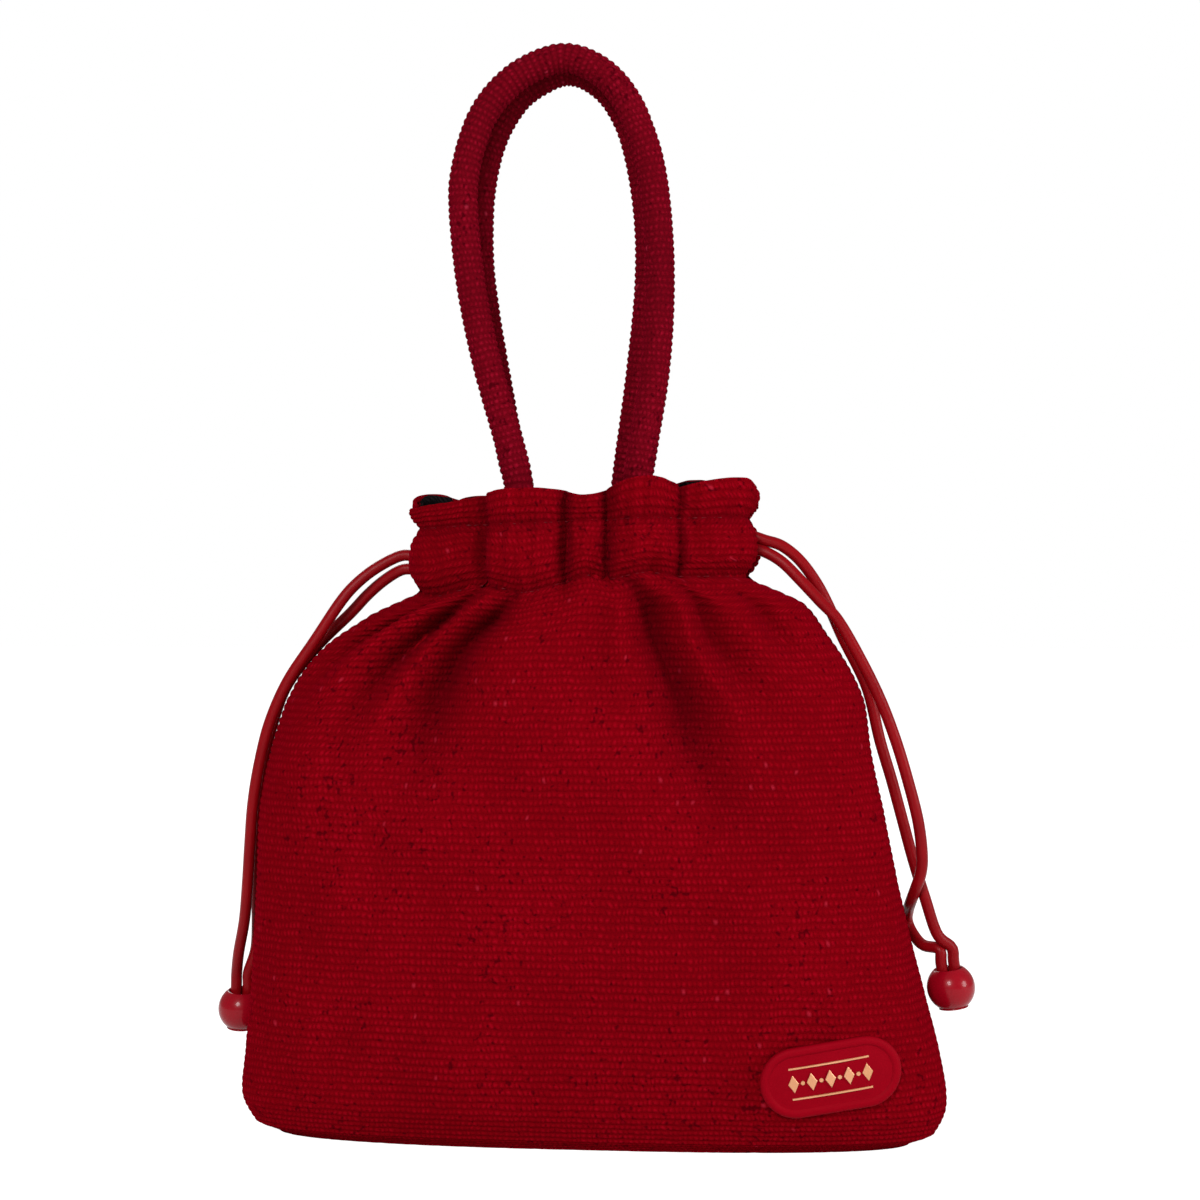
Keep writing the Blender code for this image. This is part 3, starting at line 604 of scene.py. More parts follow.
# gathers of the casing and header: angle where the lobe ends, bulge share, rise of its rim
lobes = (
    (52.0, 0.80, 0.0034), (79.5, 0.95, 0.0040), (93.5, 0.60, -0.0016), (124.0, 1.00, 0.0012),
    (180.0, 0.80, -0.0030), (214.0, 0.80, 0.0034), (243.0, 0.95, 0.0022), (262.0, 0.70, -0.0006),
    (294.0, 1.00, 0.0024), (326.0, 0.85, 0.0056), (360.0, 0.75, 0.0020),
)

# how far the lower stitch line hangs below its level: angle, metres
droop = (
    (0.0, 0.0006), (34.0, 0.0002), (52.0, 0.0000), (66.0, -0.0016), (79.5, 0.0004), (87.0, -0.0012),
    (93.5, 0.0008), (108.0, 0.0040), (124.0, 0.0012), (150.0, 0.0044), (180.0, 0.0020), (200.0, 0.0034),
    (214.0, 0.0006), (230.0, 0.0026), (243.0, 0.0000), (262.0, 0.0014), (280.0, -0.0006), (294.0, 0.0012),
    (310.0, 0.0024), (326.0, 0.0004), (344.0, 0.0018), (360.0, 0.0006),
)
droopReach = 0.026

# how far the header flops down towards the side seams: angle, metres
flop = (
    (0.0, 0.0050), (9.0, 0.0026), (20.0, 0.0), (148.0, 0.0), (163.0, 0.0010), (174.0, 0.0026),
    (186.0, 0.0030), (197.0, 0.0012), (206.0, 0.0), (342.0, 0.0), (352.0, 0.0024), (360.0, 0.0050),
)

# creases below the casing: angle at the stitch line, drift over the reach, depth, half width, reach
creases = (
    (40.0, -6.0, 0.0060, 3.6, 0.036), (59.0, -3.0, 0.0085, 3.8, 0.055), (73.5, -7.5, 0.0120, 4.4, 0.100),
    (84.0, 3.0, 0.0045, 3.2, 0.056), (111.0, 3.0, 0.0120, 4.2, 0.088), (123.5, 11.0, 0.0105, 4.0, 0.064),
    (146.0, 11.0, 0.0070, 4.4, 0.048), (212.0, -6.0, 0.0075, 4.4, 0.048), (236.0, -5.0, 0.0110, 4.4, 0.078),
    (258.0, -2.0, 0.0080, 4.2, 0.056), (276.0, 2.0, 0.0080, 4.2, 0.052), (299.0, 5.0, 0.0115, 4.4, 0.088),
    (324.0, 6.0, 0.0080, 4.4, 0.050),
)

stitchZ = pouch["bodyHeight"]
topstitchZ = stitchZ + pouch["casing"]
rimZ = topstitchZ + pouch["header"]
mouthRise = pouch["casing"] + pouch["header"]


def outlineAt(z):
    half = pouch["baseWidth"] / 2
    deep = pouch["bellyDepth"] / 2
    stations = [
        (h * stitchZ, -left * half, right * half, depth * deep, power)
        for h, left, right, depth, power in outline
    ]
    swell = pouch["gatherAtStitch"] * pouch["gather"]
    ring = pouch["mouthWidth"] / 2 + swell
    middle = pouch["mouthOffset"]
    stations.append((stitchZ, middle - ring, middle + ring, pouch["mouthDepth"] / 2 + swell, 2.0))
    heights = [station[0] for station in stations]
    place = np.interp(np.clip(z, 0.0, stitchZ), heights, np.arange(len(heights)))
    return np.moveaxis(smoothAt(stations, place), -1, 0)[1:]


def sectionPoint(left, right, deep, power, angle):
    middle, half = (left + right) / 2, (right - left) / 2
    cosine, sine = np.cos(angle), np.sin(angle)
    x = middle + half * np.sign(cosine) * np.abs(cosine) ** (2.0 / power)
    y = -deep * np.sign(sine) * np.abs(sine) ** (2.0 / power)
    outX, outY = cosine / half, -sine / deep
    size = np.hypot(outX, outY)
    return x, y, outX / size, outY / size


def lobeBulge(angle):
    degrees = np.degrees(angle) % 360.0
    ends, bulges, rises = np.array(lobes).T
    index = np.minimum(np.searchsorted(ends, degrees), len(lobes) - 1)
    starts = np.concatenate([[0.0], ends[:-1]])
    share = (degrees - starts[index]) / (ends[index] - starts[index])
    wave = np.clip(np.sin(math.pi * share), 0.0, 1.0)
    swell = bulges[index] * wave ** mouthForm["lobeRoundness"]
    side = np.maximum(0.0, np.abs(np.cos(angle)) - mouthForm["seamFrom"]) / mouthForm["seamSpan"]
    swell = np.maximum(swell, mouthForm["seamBulge"] * side)
    return swell, rises[index] * wave ** mouthForm["rimRoundness"]


def creaseDepth(angle, down, atStitch=creaseForm["atStitch"]):
    degrees = np.degrees(angle) % 360.0
    total = np.zeros(np.broadcast(angle, down).shape)
    for place, drift, depth, width, reach in creases:
        run = np.clip(down / reach, 0.0, 1.0)
        wide = width * (1.0 + creaseForm["widening"] * run)
        strength = atStitch + (1.0 - atStitch) * smoothStep(down, 0.0, creaseForm["peak"])
        fade = 1.0 - smoothStep(down, creaseForm["fadeFrom"] * reach, reach)
        dent = np.exp(-(np.abs((degrees - place - drift * run) / wide) ** creaseForm["sharpness"]))
        total = np.maximum(total, depth * strength * fade * dent)
    return total


def pillowBulge(angle, down):
    # how far the cloth stands out between two neighbouring creases, just below the casing
    form = pillowForm
    degrees = np.degrees(angle) % 360.0
    rise = smoothStep(down, 0.0, form["full"]) * (1.0 - smoothStep(down, *form["sinks"]))
    total = np.zeros(np.broadcast(angle, down).shape)
    deep = [crease for crease in creases if crease[2] > form["from"]]
    for first, second in zip(deep, deep[1:]):
        start, end = (row[0] + row[1] * np.clip(down / row[4], 0.0, 1.0) for row in (first, second))
        share = (degrees - start) / (end - start)
        inside = (share > 0.0) & (share < 1.0)
        size = form["bulge"] * np.minimum(1.0, (second[0] - first[0]) / form["fullWidth"])
        bulge = size * np.sin(math.pi * np.clip(share, 0.0, 1.0)) ** form["roundness"]
        total += np.where(inside, bulge, 0.0)
    return total * rise * smoothStep(np.abs(np.sin(angle)), *form["offSeam"])


def hang(angle, away):
    # drop of the cloth near the lower stitch line, away being the height from it
    places = [row[0] for row in droop]
    place = np.interp(np.degrees(angle) % 360.0, places, np.arange(len(places)))
    drop = smoothAt([[row[1]] for row in droop], place)[..., 0]
    return drop * (1.0 - smoothStep(np.abs(away), 0.0, droopReach))


def ripples(angle, z):
    # slow unevenness of the whole cloth
    waves = 0.0
    for weight, turn, climb, phase in rippleWaves:
        waves = waves + weight * np.sin(turn * angle + climb * z + phase)
    return pouch["ripple"] * waves * smoothStep(z, 0.0, pouch["ripplesFrom"])


def pinchAt(away):
    # how far a stitch line at this distance draws the cloth in
    return pouch["pinch"] * np.exp(-((away / pouch["pinchWidth"]) ** 2))


def bodyPoint(angle, z):
    x, y, outX, outY = sectionPoint(*outlineAt(z), angle)
    down = stitchZ - z
    dent = creaseDepth(angle, down) - pillowBulge(angle, down)
    dent = dent - ripples(angle, z) * np.abs(np.sin(angle)) + pinchAt(down)
    lift = pouch["mouthTilt"] * np.cos(angle) * (1.0 - smoothStep(down, 0.0, pouch["tiltReach"]))
    lift = lift - hang(angle, down)
    return np.stack([x - outX * dent, y - outY * dent, z + lift], axis=-1)


def mouthSection(angle, inward=0.0):
    half, deep = pouch["mouthWidth"] / 2 - inward, pouch["mouthDepth"] / 2 - inward
    return sectionPoint(pouch["mouthOffset"] - half, pouch["mouthOffset"] + half, deep, 2.0, angle)


def mouthPoint(angle, up):
    x, y, outX, outY = mouthSection(angle)
    swell, rise = lobeBulge(angle)
    casing = pouch["casing"]
    least, added, within = mouthForm["growth"]
    growth = least + added * smoothStep(up, 0.0, within * casing)
    flare = mouthForm["flare"] * smoothStep(up, casing, mouthRise)
    fullness = 1.0 + (mouthForm["puff"] - 1.0) * np.sin(math.pi * np.clip(up / casing, 0.0, 1.0))
    reach = pouch["gather"] * swell * (growth * fullness + flare)
    waves = mouthForm["rippleShare"] * ripples(3.0 * angle, up + stitchZ)
    reach = reach + waves * np.abs(np.sin(angle))
    for line in (0.0, casing):
        reach = reach - pinchAt(up - line)
    drop = np.interp(np.degrees(angle) % 360.0, *zip(*flop))
    raised = up + np.where(up > casing, (rise - drop) * (up - casing) / pouch["header"], 0.0)
    pushed = mouthForm["flopOut"] * drop * (up - casing) / pouch["header"]
    reach = reach + np.where(up > casing, pushed, 0.0)
    z = stitchZ + raised + pouch["mouthTilt"] * np.cos(angle) - hang(angle, up)
    return np.stack([x + outX * reach, y + outY * reach, z], axis=-1)


def bottomPoint(angle, share):
    # the flat bottom, from the seam under the middle of the bag out to its edge
    edge = bodyPoint(angle, np.zeros_like(angle))
    seamX = edge[..., 0] * pouch["bottomSeam"]
    x = seamX + (edge[..., 0] - seamX) * share
    return np.stack([x, edge[..., 1] * share, np.zeros_like(x)], axis=-1)


def foldShade(angle, place):
    # 0 on open cloth, up to 1 where shade is painted inside folds, between lobes and on stitch lines, and
    # where a shadow is painted just under the casing
    down = stitchZ - np.clip(place - 1.0, 0.0, 1.0) * stitchZ
    deepest = max(crease[2] for crease in creases)
    crease = (creaseDepth(angle, down, paintedFoldShade["atStitch"]) / deepest) ** paintedFoldShade["power"]
    up = np.clip(place - 2.0, 0.0, 1.0) * mouthRise
    ends = np.array([0.0] + [lobe[0] for lobe in lobes])
    near = np.abs((np.degrees(angle) % 360.0)[..., None] - ends).min(axis=-1)

    def dark(part, away):
        most, width = paintedFoldShade[part]
        return most * np.exp(-((away / width) ** 2))

    lines = np.maximum(dark("line", up), dark("line", up - pouch["casing"]))
    body = np.maximum(crease, dark("under", down))
    return np.where(place < 2.0, body, np.maximum(dark("valley", near), lines))


def clothPoint(angle, place):
    # outer surface: place runs 0 to 1 under the bottom, to 2 up the body, to 3 up to the rim and to
    # 4 over the rim to the inside
    low = bottomPoint(angle, np.clip(place, 0.0, 1.0))
    wall = bodyPoint(angle, np.clip(place - 1.0, 0.0, 1.0) * stitchZ)
    top = mouthPoint(angle, np.clip(place - 2.0, 0.0, 1.0) * mouthRise)
    turn = np.clip(place - 3.0, 0.0, 1.0) * pouch["rimRoll"] * math.pi
    radius = pouch["cloth"] / 2
    inX, inY = -np.cos(angle), np.sin(angle)
    over = radius * (1.0 - np.cos(turn))
    top = top + np.stack([inX * over, inY * over, radius * np.sin(turn)], axis=-1)
    closing = smoothStep(place, pouch["closingFrom"], 2.0)[..., None]
    wall = wall * (1.0 - closing) + mouthPoint(angle, np.zeros_like(angle)) * closing
    chosen = np.where((place < 1.0)[..., None], low, wall)
    return np.where((place >= 2.0)[..., None], top, chosen)


def slitMiddle(side):
    # height of the opening in a side seam that a drawcord's two ends come out of
    return stitchZ + cords["level"] + side * (cords["spacing"] / 2 + pouch["mouthTilt"])


def columnAngles(start, count):
    # angles of one panel's columns, evenly spaced on the cloth between its belly and its mouth
    fine = np.linspace(0.0, math.pi, 3001) + start
    mixed = 0.0
    for place, weight in pouch["columnsEvenAt"]:
        run = travelled(clothPoint(fine, np.full_like(fine, place)))
        mixed = mixed + weight * (run / run[-1])
    return np.interp(np.linspace(0.0, 1.0, count), mixed, fine)


def rowPlaces():
    # places of the rows, a fixed number to each rib along the middle of the front
    fine = np.linspace(0.0, 4.0, 6001)
    run = travelled(clothPoint(np.full_like(fine, math.radians(pouch["ribsCountedAt"])), fine))
    step = chenilleLook["ribPitch"] / pouch["rowsPerRib"]
    return np.interp(np.arange(int(run[-1] / step) + 1) * step, run, fine)


def panelAngles(angles, places, start):
    # every row's own angles: they draw apart round the slits in the side seams
    grid = np.tile(angles, (len(places), 1)) - start
    heights = stitchZ + np.clip(places - 2.0, 0.0, 1.0) * mouthRise
    for side in (1, -1):
        reach = (heights - slitMiddle(side) + pouch["mouthTilt"] * side) / (pouch["slitHeight"] / 2)
        opening = np.sqrt(np.clip(1.0 - reach**2, 0.0, 1.0)) * (places > 2.0)
        half = math.asin(pouch["slitWidth"] / pouch["mouthDepth"]) * opening[:, None]
        onSide = grid if (side > 0) == (start == 0.0) else math.pi - grid
        shifted = half + onSide * (math.pi / 2 - half) / (math.pi / 2)
        onSide = np.where(onSide < math.pi / 2, shifted, onSide)
        grid = onSide if (side > 0) == (start == 0.0) else math.pi - onSide
    return grid + start


def buildPanel(name, start, ribs, material):
    places, columns = rowPlaces(), pouch["outerColumns"]
    angles = panelAngles(columnAngles(start, columns), places, start)
    grid = clothPoint(angles, np.tile(places[:, None], (1, columns)))
    side = -1.0 if start == 0.0 else 1.0
    seam = pouch["seamGap"] / 2
    grid[..., 1] = side * np.maximum(grid[..., 1] * side, seam)
    steps = np.linalg.norm(np.diff(grid, axis=1), axis=2)
    along = np.concatenate([np.zeros((len(places), 1)), np.cumsum(steps, axis=1)], axis=1)
    along -= along[:, columns // 2][:, None]
    course = np.arange(len(places)) / pouch["rowsPerRib"]

    cross = np.cross(np.gradient(grid, axis=0), np.gradient(grid, axis=1))
    normal = cross / np.maximum(np.linalg.norm(cross, axis=2, keepdims=True), 1e-12)
    firstRoll = int(np.searchsorted(places, 3.0))
    pickRows = np.unique(np.linspace(0, firstRoll, pouch["innerRows"]).astype(int))
    pickColumns = np.unique(np.linspace(0, columns - 1, pouch["innerColumns"]).astype(int))
    inner = (grid - normal * pouch["cloth"])[np.ix_(pickRows, pickColumns)]
    inner[..., 1] = side * np.maximum(inner[..., 1] * side, seam)
    inner[..., 2] = np.maximum(inner[..., 2], pouch["cloth"])

    rows = len(places)
    outerIndex = np.arange(rows * columns).reshape(rows, columns)
    innerIndex = rows * columns + np.arange(inner.shape[0] * inner.shape[1]).reshape(inner.shape[:2])
    faces = gridFaces(outerIndex) + [face[::-1] for face in gridFaces(innerIndex)]
    for far, near in (
        (outerIndex[0], innerIndex[0]),
        (outerIndex[:, -1], innerIndex[:, -1]),
        (outerIndex[-1][::-1], innerIndex[-1][::-1]),
        (outerIndex[:, 0][::-1], innerIndex[:, 0][::-1]),
    ):
        faces += zipRows(far.tolist(), near.tolist())
    points = np.concatenate([grid.reshape(-1, 3), inner.reshape(-1, 3)])
    flatAlong = np.concatenate([along.ravel(), along[np.ix_(pickRows, pickColumns)].ravel()])
    courses = np.concatenate([np.repeat(course, columns), np.repeat(course[pickRows], len(pickColumns))])
    ribShare = np.concatenate([np.ones(rows * columns), np.zeros(innerIndex.size)])
    ribShare[: rows * columns] = np.repeat(1.0 - smoothStep(places, *pouch["ribsFade"]), columns)
    shade = np.zeros(len(points))
    # painted fold shade, on the outer skin only
    shade[: rows * columns] = foldShade(angles, np.repeat(places[:, None], columns, axis=1)).ravel()
    uvs = [[(flatAlong[v], courses[v]) for v in face] for face in faces]
    floats = {"course": courses, "ribShare": ribShare, "foldShade": shade}
    panel = newPiece(name, points, faces, uvs, floats)
    outward(panel.data)
    values = {
        "Rib depth": pouch["ribDepth"],
        "Unevenness": pouch["unevenness"],
        "Seed": 3.0 + start,
        "Material": material,
    }
    applyModifierTree(panel, ribs, values)
    for vertex in panel.data.vertices:  # the pile is pressed flat where the bag stands
        vertex.co.z = max(vertex.co.z, 0.0)
    return panel


facing = {
    "columns": 300,
    "thickness": 0.0010,
    "tunnel": 0.0049,  # room for the cords between casing and facing
    "tuck": 0.0014,
    "tuckFrom": (0.0, 0.18),  # shares of the casing's height
    "tuckTo": (0.80, 1.0),
    "above": 0.0005,  # height over the red rim at the front
    "aboveBack": 0.0009,
    "edge": 0.004,
    "ribDepth": 0.0006,
    "unevenness": 0.4,
    "seed": 8.0,
}


def buildFacing(ribs, material):
    # black chenille inside the header and casing: its mouth side carries the ribs
    angles = np.linspace(0.0, 2 * math.pi, facing["columns"], endpoint=False)
    step = chenilleLook["ribPitch"] / pouch["rowsPerRib"]
    ups = np.arange(int(mouthRise / step) + 1) / int(mouthRise / step) * mouthRise
    behind = pouch["cloth"] + facing["tunnel"]
    wall = pouch["cloth"] + 2 * pouch["fitGap"]
    grid = mouthPoint(angles[None, :], ups[:, None])
    middle, half = pouch["mouthOffset"], pouch["mouthWidth"] / 2
    cross = np.cross(np.gradient(grid, axis=0), np.roll(grid, -1, 1) - np.roll(grid, 1, 1))
    level = cross / np.linalg.norm(cross, axis=2, keepdims=True)
    level[..., 2] = 0.0
    against = grid - level * wall / np.maximum((level**2).sum(2, keepdims=True), 0.3)
    x, y, _, _ = sectionPoint(
        middle - half + behind + facing["tuck"],
        middle + half - behind - facing["tuck"],
        pouch["mouthDepth"] / 2 - behind,
        2.0,
        angles,
    )
    casingShare = ups / pouch["casing"]
    tucked = smoothStep(casingShare, *facing["tuckFrom"]) * (1.0 - smoothStep(casingShare, *facing["tuckTo"]))
    grid[..., 0] = against[..., 0] + (x - against[..., 0]) * tucked[:, None]
    grid[..., 1] = against[..., 1] + (y - against[..., 1]) * tucked[:, None]
    towardsBack = smoothStep(-np.sin(angles), -0.2, 0.2)
    above = facing["above"] + (facing["aboveBack"] - facing["above"]) * towardsBack
    grid[..., 2] += above * smoothStep(ups, mouthRise - facing["edge"], mouthRise)[:, None]
    rows, columns = grid.shape[:2]
    steps = np.linalg.norm(np.roll(grid, -1, 1) - grid, axis=2)
    along = np.concatenate([np.zeros((rows, 1)), np.cumsum(steps, axis=1)], axis=1)
    course = np.arange(rows) / pouch["rowsPerRib"]
    faces = gridFaces(np.arange(rows * columns).reshape(rows, columns), closed=True)
    corners = ((0, 1), (0, 0), (1, 0), (1, 1))
    uvs = [
        [(along[r + up, c + over], course[r + up]) for up, over in corners]
        for r in range(rows - 1)
        for c in range(columns)
    ]
    floats = {"course": np.repeat(course, columns), "ribShare": np.ones(rows * columns)}
    piece = newPiece("headerFacing", grid.reshape(-1, 3), faces, uvs, floats)
    thicken(piece, facing["thickness"])
    values = {
        "Rib depth": facing["ribDepth"],
        "Unevenness": facing["unevenness"],
        "Seed": facing["seed"],
        "Material": material,
    }
    applyModifierTree(piece, ribs, values)
    return piece


lining = {
    "columns": 160,
    "rows": 70,
    "thickness": 0.0006,
    "play": 0.0022,
    "tuck": 0.0012,
    "behindFolds": (0.55, 0.80),  # shares of the height over which it draws in behind the creases
    "footPlay": (0.4, 0.12),  # extra share of the play at the foot, and the height it takes
    "wave": (0.0004, 9, 5),  # height, turns round the bag, climb
    "closing": 0.93,
    "tiltFrom": 0.7,
    "baseHole": 0.02,
}


def buildLining(material):
    # inner pouch of thin cloth, loose inside the panels, with soft folds
    angles = np.linspace(0.0, 2 * math.pi, lining["columns"], endpoint=False)
    shares = np.linspace(0.0, 1.0, lining["rows"])
    a, s = np.meshgrid(angles, shares)
    z = s * stitchZ
    left, right, deep, power = outlineAt(z)
    deepest = max(crease[2] for crease in creases)
    inward = pouch["cloth"] + lining["play"] + deepest * smoothStep(s, *lining["behindFolds"])
    extra, extraTo = lining["footPlay"]
    inward = inward * (1.0 + extra * (1.0 - smoothStep(s, 0.0, extraTo)))
    wave, turns, climb = lining["wave"]
    inward = inward + wave * (1.0 + np.sin(turns * a + climb * s)) * np.sin(math.pi * s)
    x, y, _, _ = sectionPoint(left + inward, right - inward, deep - inward, power, a)
    topX, topY, _, _ = mouthSection(a, pouch["cloth"] + 2 * pouch["fitGap"] + lining["tuck"])
    closing = smoothStep(s, lining["closing"], 1.0)
    x, y = x + (topX - x) * closing, y + (topY - y) * closing
    z = np.maximum(z, pouch["cloth"] + pouch["fitGap"])
    tilt = pouch["mouthTilt"] * np.cos(a) * smoothStep(s, lining["tiltFrom"], 1.0)
    grid = np.stack([x, y, z + tilt - pouch["fitGap"] * closing], axis=-1)
    base = grid[:1] * (lining["baseHole"], lining["baseHole"], 1.0)
    grid = np.concatenate([base, grid])
    index = np.arange(grid.shape[0] * grid.shape[1]).reshape(grid.shape[:2])
    faces = gridFaces(index, closed=True) + [tuple(index[0].tolist())]
    flat = grid.reshape(-1, 3)
    uvs = [[(flat[v][0], flat[v][2]) for v in face] for face in faces]
    piece = newPiece("innerLining", flat, faces, uvs)
    outward(piece.data)
    piece.data.materials.append(material)
    thicken(piece, lining["thickness"])
    return piece


# tubes along a line, for the cords and the handles

def tubeGrid(points, radius, sides, firstSide):
    # rings round a line, turned so that each one's first point lies towards firstSide
    tangent = np.gradient(points, axis=0)
    tangent /= np.linalg.norm(tangent, axis=1, keepdims=True)
    first = np.array(firstSide, float) - tangent[0] * np.dot(firstSide, tangent[0])
    turn = np.linspace(0.0, 2 * math.pi, sides, endpoint=False)[:, None]
    rings = []
    for i, point in enumerate(points):
        first = first - tangent[i] * np.dot(first, tangent[i])
        first /= np.linalg.norm(first)
        second = np.cross(tangent[i], first)
        rings.append(point + radius * (np.cos(turn) * first + np.sin(turn) * second))
    return np.array(rings)


def tubePiece(name, points, radius, sides, firstSide=(1.0, 0.0, 0.0), pitch=None, bore=0.0):
    # a closed tube; with a bore it is hollow, and with a pitch its points carry course numbers
    points = np.asarray(points, float)
    run = travelled(points)
    count = len(points)
    grid = tubeGrid(points, radius, sides, firstSide)
    vertices = [grid.reshape(-1, 3)]
    course = run / pitch if pitch else run
    faces, uvs = [], []
    for r in range(count - 1):
        for c in range(sides):
            d = (c + 1) % sides
            faces.append((r * sides + c, r * sides + d, (r + 1) * sides + d, (r + 1) * sides + c))
            u, v = 2 * math.pi * radius * c / sides, 2 * math.pi * radius * (c + 1) / sides
            uvs.append(((u, course[r]), (v, course[r]), (v, course[r + 1]), (u, course[r + 1])))
    shares = [np.ones(count * sides)]
    courses = [np.repeat(course, sides)]
    if bore:
        pick = np.unique(np.linspace(0, count - 1, max(8, count // 8)).astype(int))
        hole = tubeGrid(points, bore, sides, firstSide)[pick]
        start = count * sides
        index = start + np.arange(len(pick) * sides).reshape(len(pick), sides)
        faces += gridFaces(index, closed=True)
        outerIndex = np.arange(count * sides).reshape(count, sides)
        faces += gridFaces(np.stack([index[0], outerIndex[0]]), closed=True)
        faces += gridFaces(np.stack([outerIndex[-1], index[-1]]), closed=True)
        vertices.append(hole.reshape(-1, 3))
        shares.append(np.zeros(len(pick) * sides))
        courses.append(np.repeat(course[pick], sides))
        allCourses = np.concatenate(courses)
        uvs += [[(0.0, allCourses[v]) for v in face] for face in faces[len(uvs) :]]
    else:
        for ring in (range(sides), range((count - 1) * sides, count * sides)):
            faces.append(tuple(ring))
            uvs.append([(0.0, 0.0)] * sides)
    floats = {"course": np.concatenate(courses), "ribShare": np.concatenate(shares)}
    piece = newPiece(name, np.concatenate(vertices), faces, uvs, floats)
    outward(piece.data)
    return piece


# drawcords and beads

cords = {
    "diameter": 0.0040,
    "spacing": 0.0044,
    "play": 0.0003,
    "level": 0.0071,
    "sides": 18,
    "step": 0.0014,
    "leftBead": ((-0.1272, 0.0140, 0.0385), (0.06, -0.12, 1.0)),
    "rightBead": ((0.1240, 0.0070, 0.0515), (-0.14, -0.02, 1.0)),
    "beadDiameter": 0.0165,
    "beadFlat": 0.0012,
    "beadSides": 64,
    "beadRings": 40,
    "stop": 0.0030,
    "intoBead": (0.0135, 0.0090, 0.0020),  # heights over the bead's middle
    "throughSlit": ((-0.0042, -0.0056), (-0.0016, -0.0026), (0.0026, -0.0008)),  # outwards, y
    "fineSteps": 40,
    "keepEvery": 10,
}

leftFrontStrand = (
    (-0.0660, -0.0005, 0.2006), (-0.0735, -0.0018, 0.1971), (-0.0803, -0.0035, 0.1920),
    (-0.0866, -0.0050, 0.1850), (-0.0957, -0.0068, 0.1710), (-0.1050, -0.0080, 0.1569),
    (-0.1112, -0.0085, 0.1428), (-0.1150, -0.0080, 0.1287), (-0.1176, -0.0070, 0.1146),
    (-0.1192, -0.0050, 0.1005), (-0.1207, -0.0025, 0.0864), (-0.1230, 0.0020, 0.0723),
    (-0.1266, 0.0080, 0.0600),
)
leftBackStrand = (
    (-0.0660, 0.0005, 0.1957), (-0.0725, 0.0015, 0.1922), (-0.0790, 0.0022, 0.1868),
    (-0.0850, 0.0025, 0.1805), (-0.0974, 0.0024, 0.1684), (-0.1080, 0.0024, 0.1546),
    (-0.1134, 0.0024, 0.1399), (-0.1168, 0.0026, 0.1260), (-0.1188, 0.0032, 0.1120),
    (-0.1196, 0.0047, 0.0980), (-0.1199, 0.0067, 0.0840), (-0.1202, 0.0088, 0.0700),
    (-0.1213, 0.0110, 0.0600),
)
rightFrontStrand = (
    (0.0600, -0.0005, 0.2016), (0.0660, -0.0020, 0.1980), (0.0722, -0.0032, 0.1918),
    (0.0790, -0.0038, 0.1845), (0.0850, -0.0040, 0.1780), (0.0928, -0.0042, 0.1644),
    (0.0994, -0.0044, 0.1507), (0.1045, -0.0045, 0.1371), (0.1086, -0.0045, 0.1234),
    (0.1120, -0.0042, 0.1098), (0.1134, -0.0034, 0.0985), (0.1131, -0.0020, 0.0920),
    (0.1116, 0.0004, 0.0865), (0.1104, 0.0060, 0.0813), (0.1099, 0.0134, 0.0770), (0.1098, 0.0172, 0.0726),
    (0.1116, 0.0154, 0.0684), (0.1148, 0.0108, 0.0652),
)
rightBackStrand = (
    (0.0600, 0.0005, 0.2056), (0.0660, 0.0008, 0.2036), (0.0722, 0.0012, 0.1985), (0.0780, 0.0016, 0.1905),
    (0.0826, 0.0018, 0.1815), (0.0868, 0.0018, 0.1720), (0.0950, 0.0018, 0.1550), (0.0994, 0.0018, 0.1370),
    (0.1034, 0.0020, 0.1234), (0.1071, 0.0026, 0.1097), (0.1108, 0.0036, 0.0960), (0.1150, 0.0044, 0.0824),
    (0.1192, 0.0052, 0.0700),
)


def casingRun(side, near, far):
    # the stretch inside the casing, over the front and round behind to the same seam
    degrees = np.linspace(*((158.0, -158.0) if side < 0 else (22.0, 338.0)), 19)
    angle = np.radians(degrees)
    x, y, _, _ = mouthSection(angle, pouch["cloth"] + cords["play"] + cords["diameter"] / 2)
    turned = np.abs(180.0 - degrees) if side > 0 else degrees
    level = near + (far - near) * (1.0 - np.clip(turned, 0.0, 180.0) / 180.0)
    level = np.where(np.sin(angle) < 0.0, far, level)
    return [tuple(p) for p in np.stack([x, y, level + pouch["mouthTilt"] * np.cos(angle)], axis=1)]


def slitPoints(side, z):
    wall = pouch["mouthOffset"] + side * pouch["mouthWidth"] / 2
    return [(wall + side * out, y, z) for out, y in cords["throughSlit"]]


def beadPoints(bead, sideStep):
    up = Vector(bead[1]).normalized()
    across = Vector((1.0, 0.0, 0.0))
    across = (across - up * across.dot(up)).normalized()
    start = Vector(bead[0]) + across * sideStep
    heights = (*cords["intoBead"], cords["stop"] - cords["beadDiameter"] / 2)
    return [tuple(start + up * height) for height in heights]


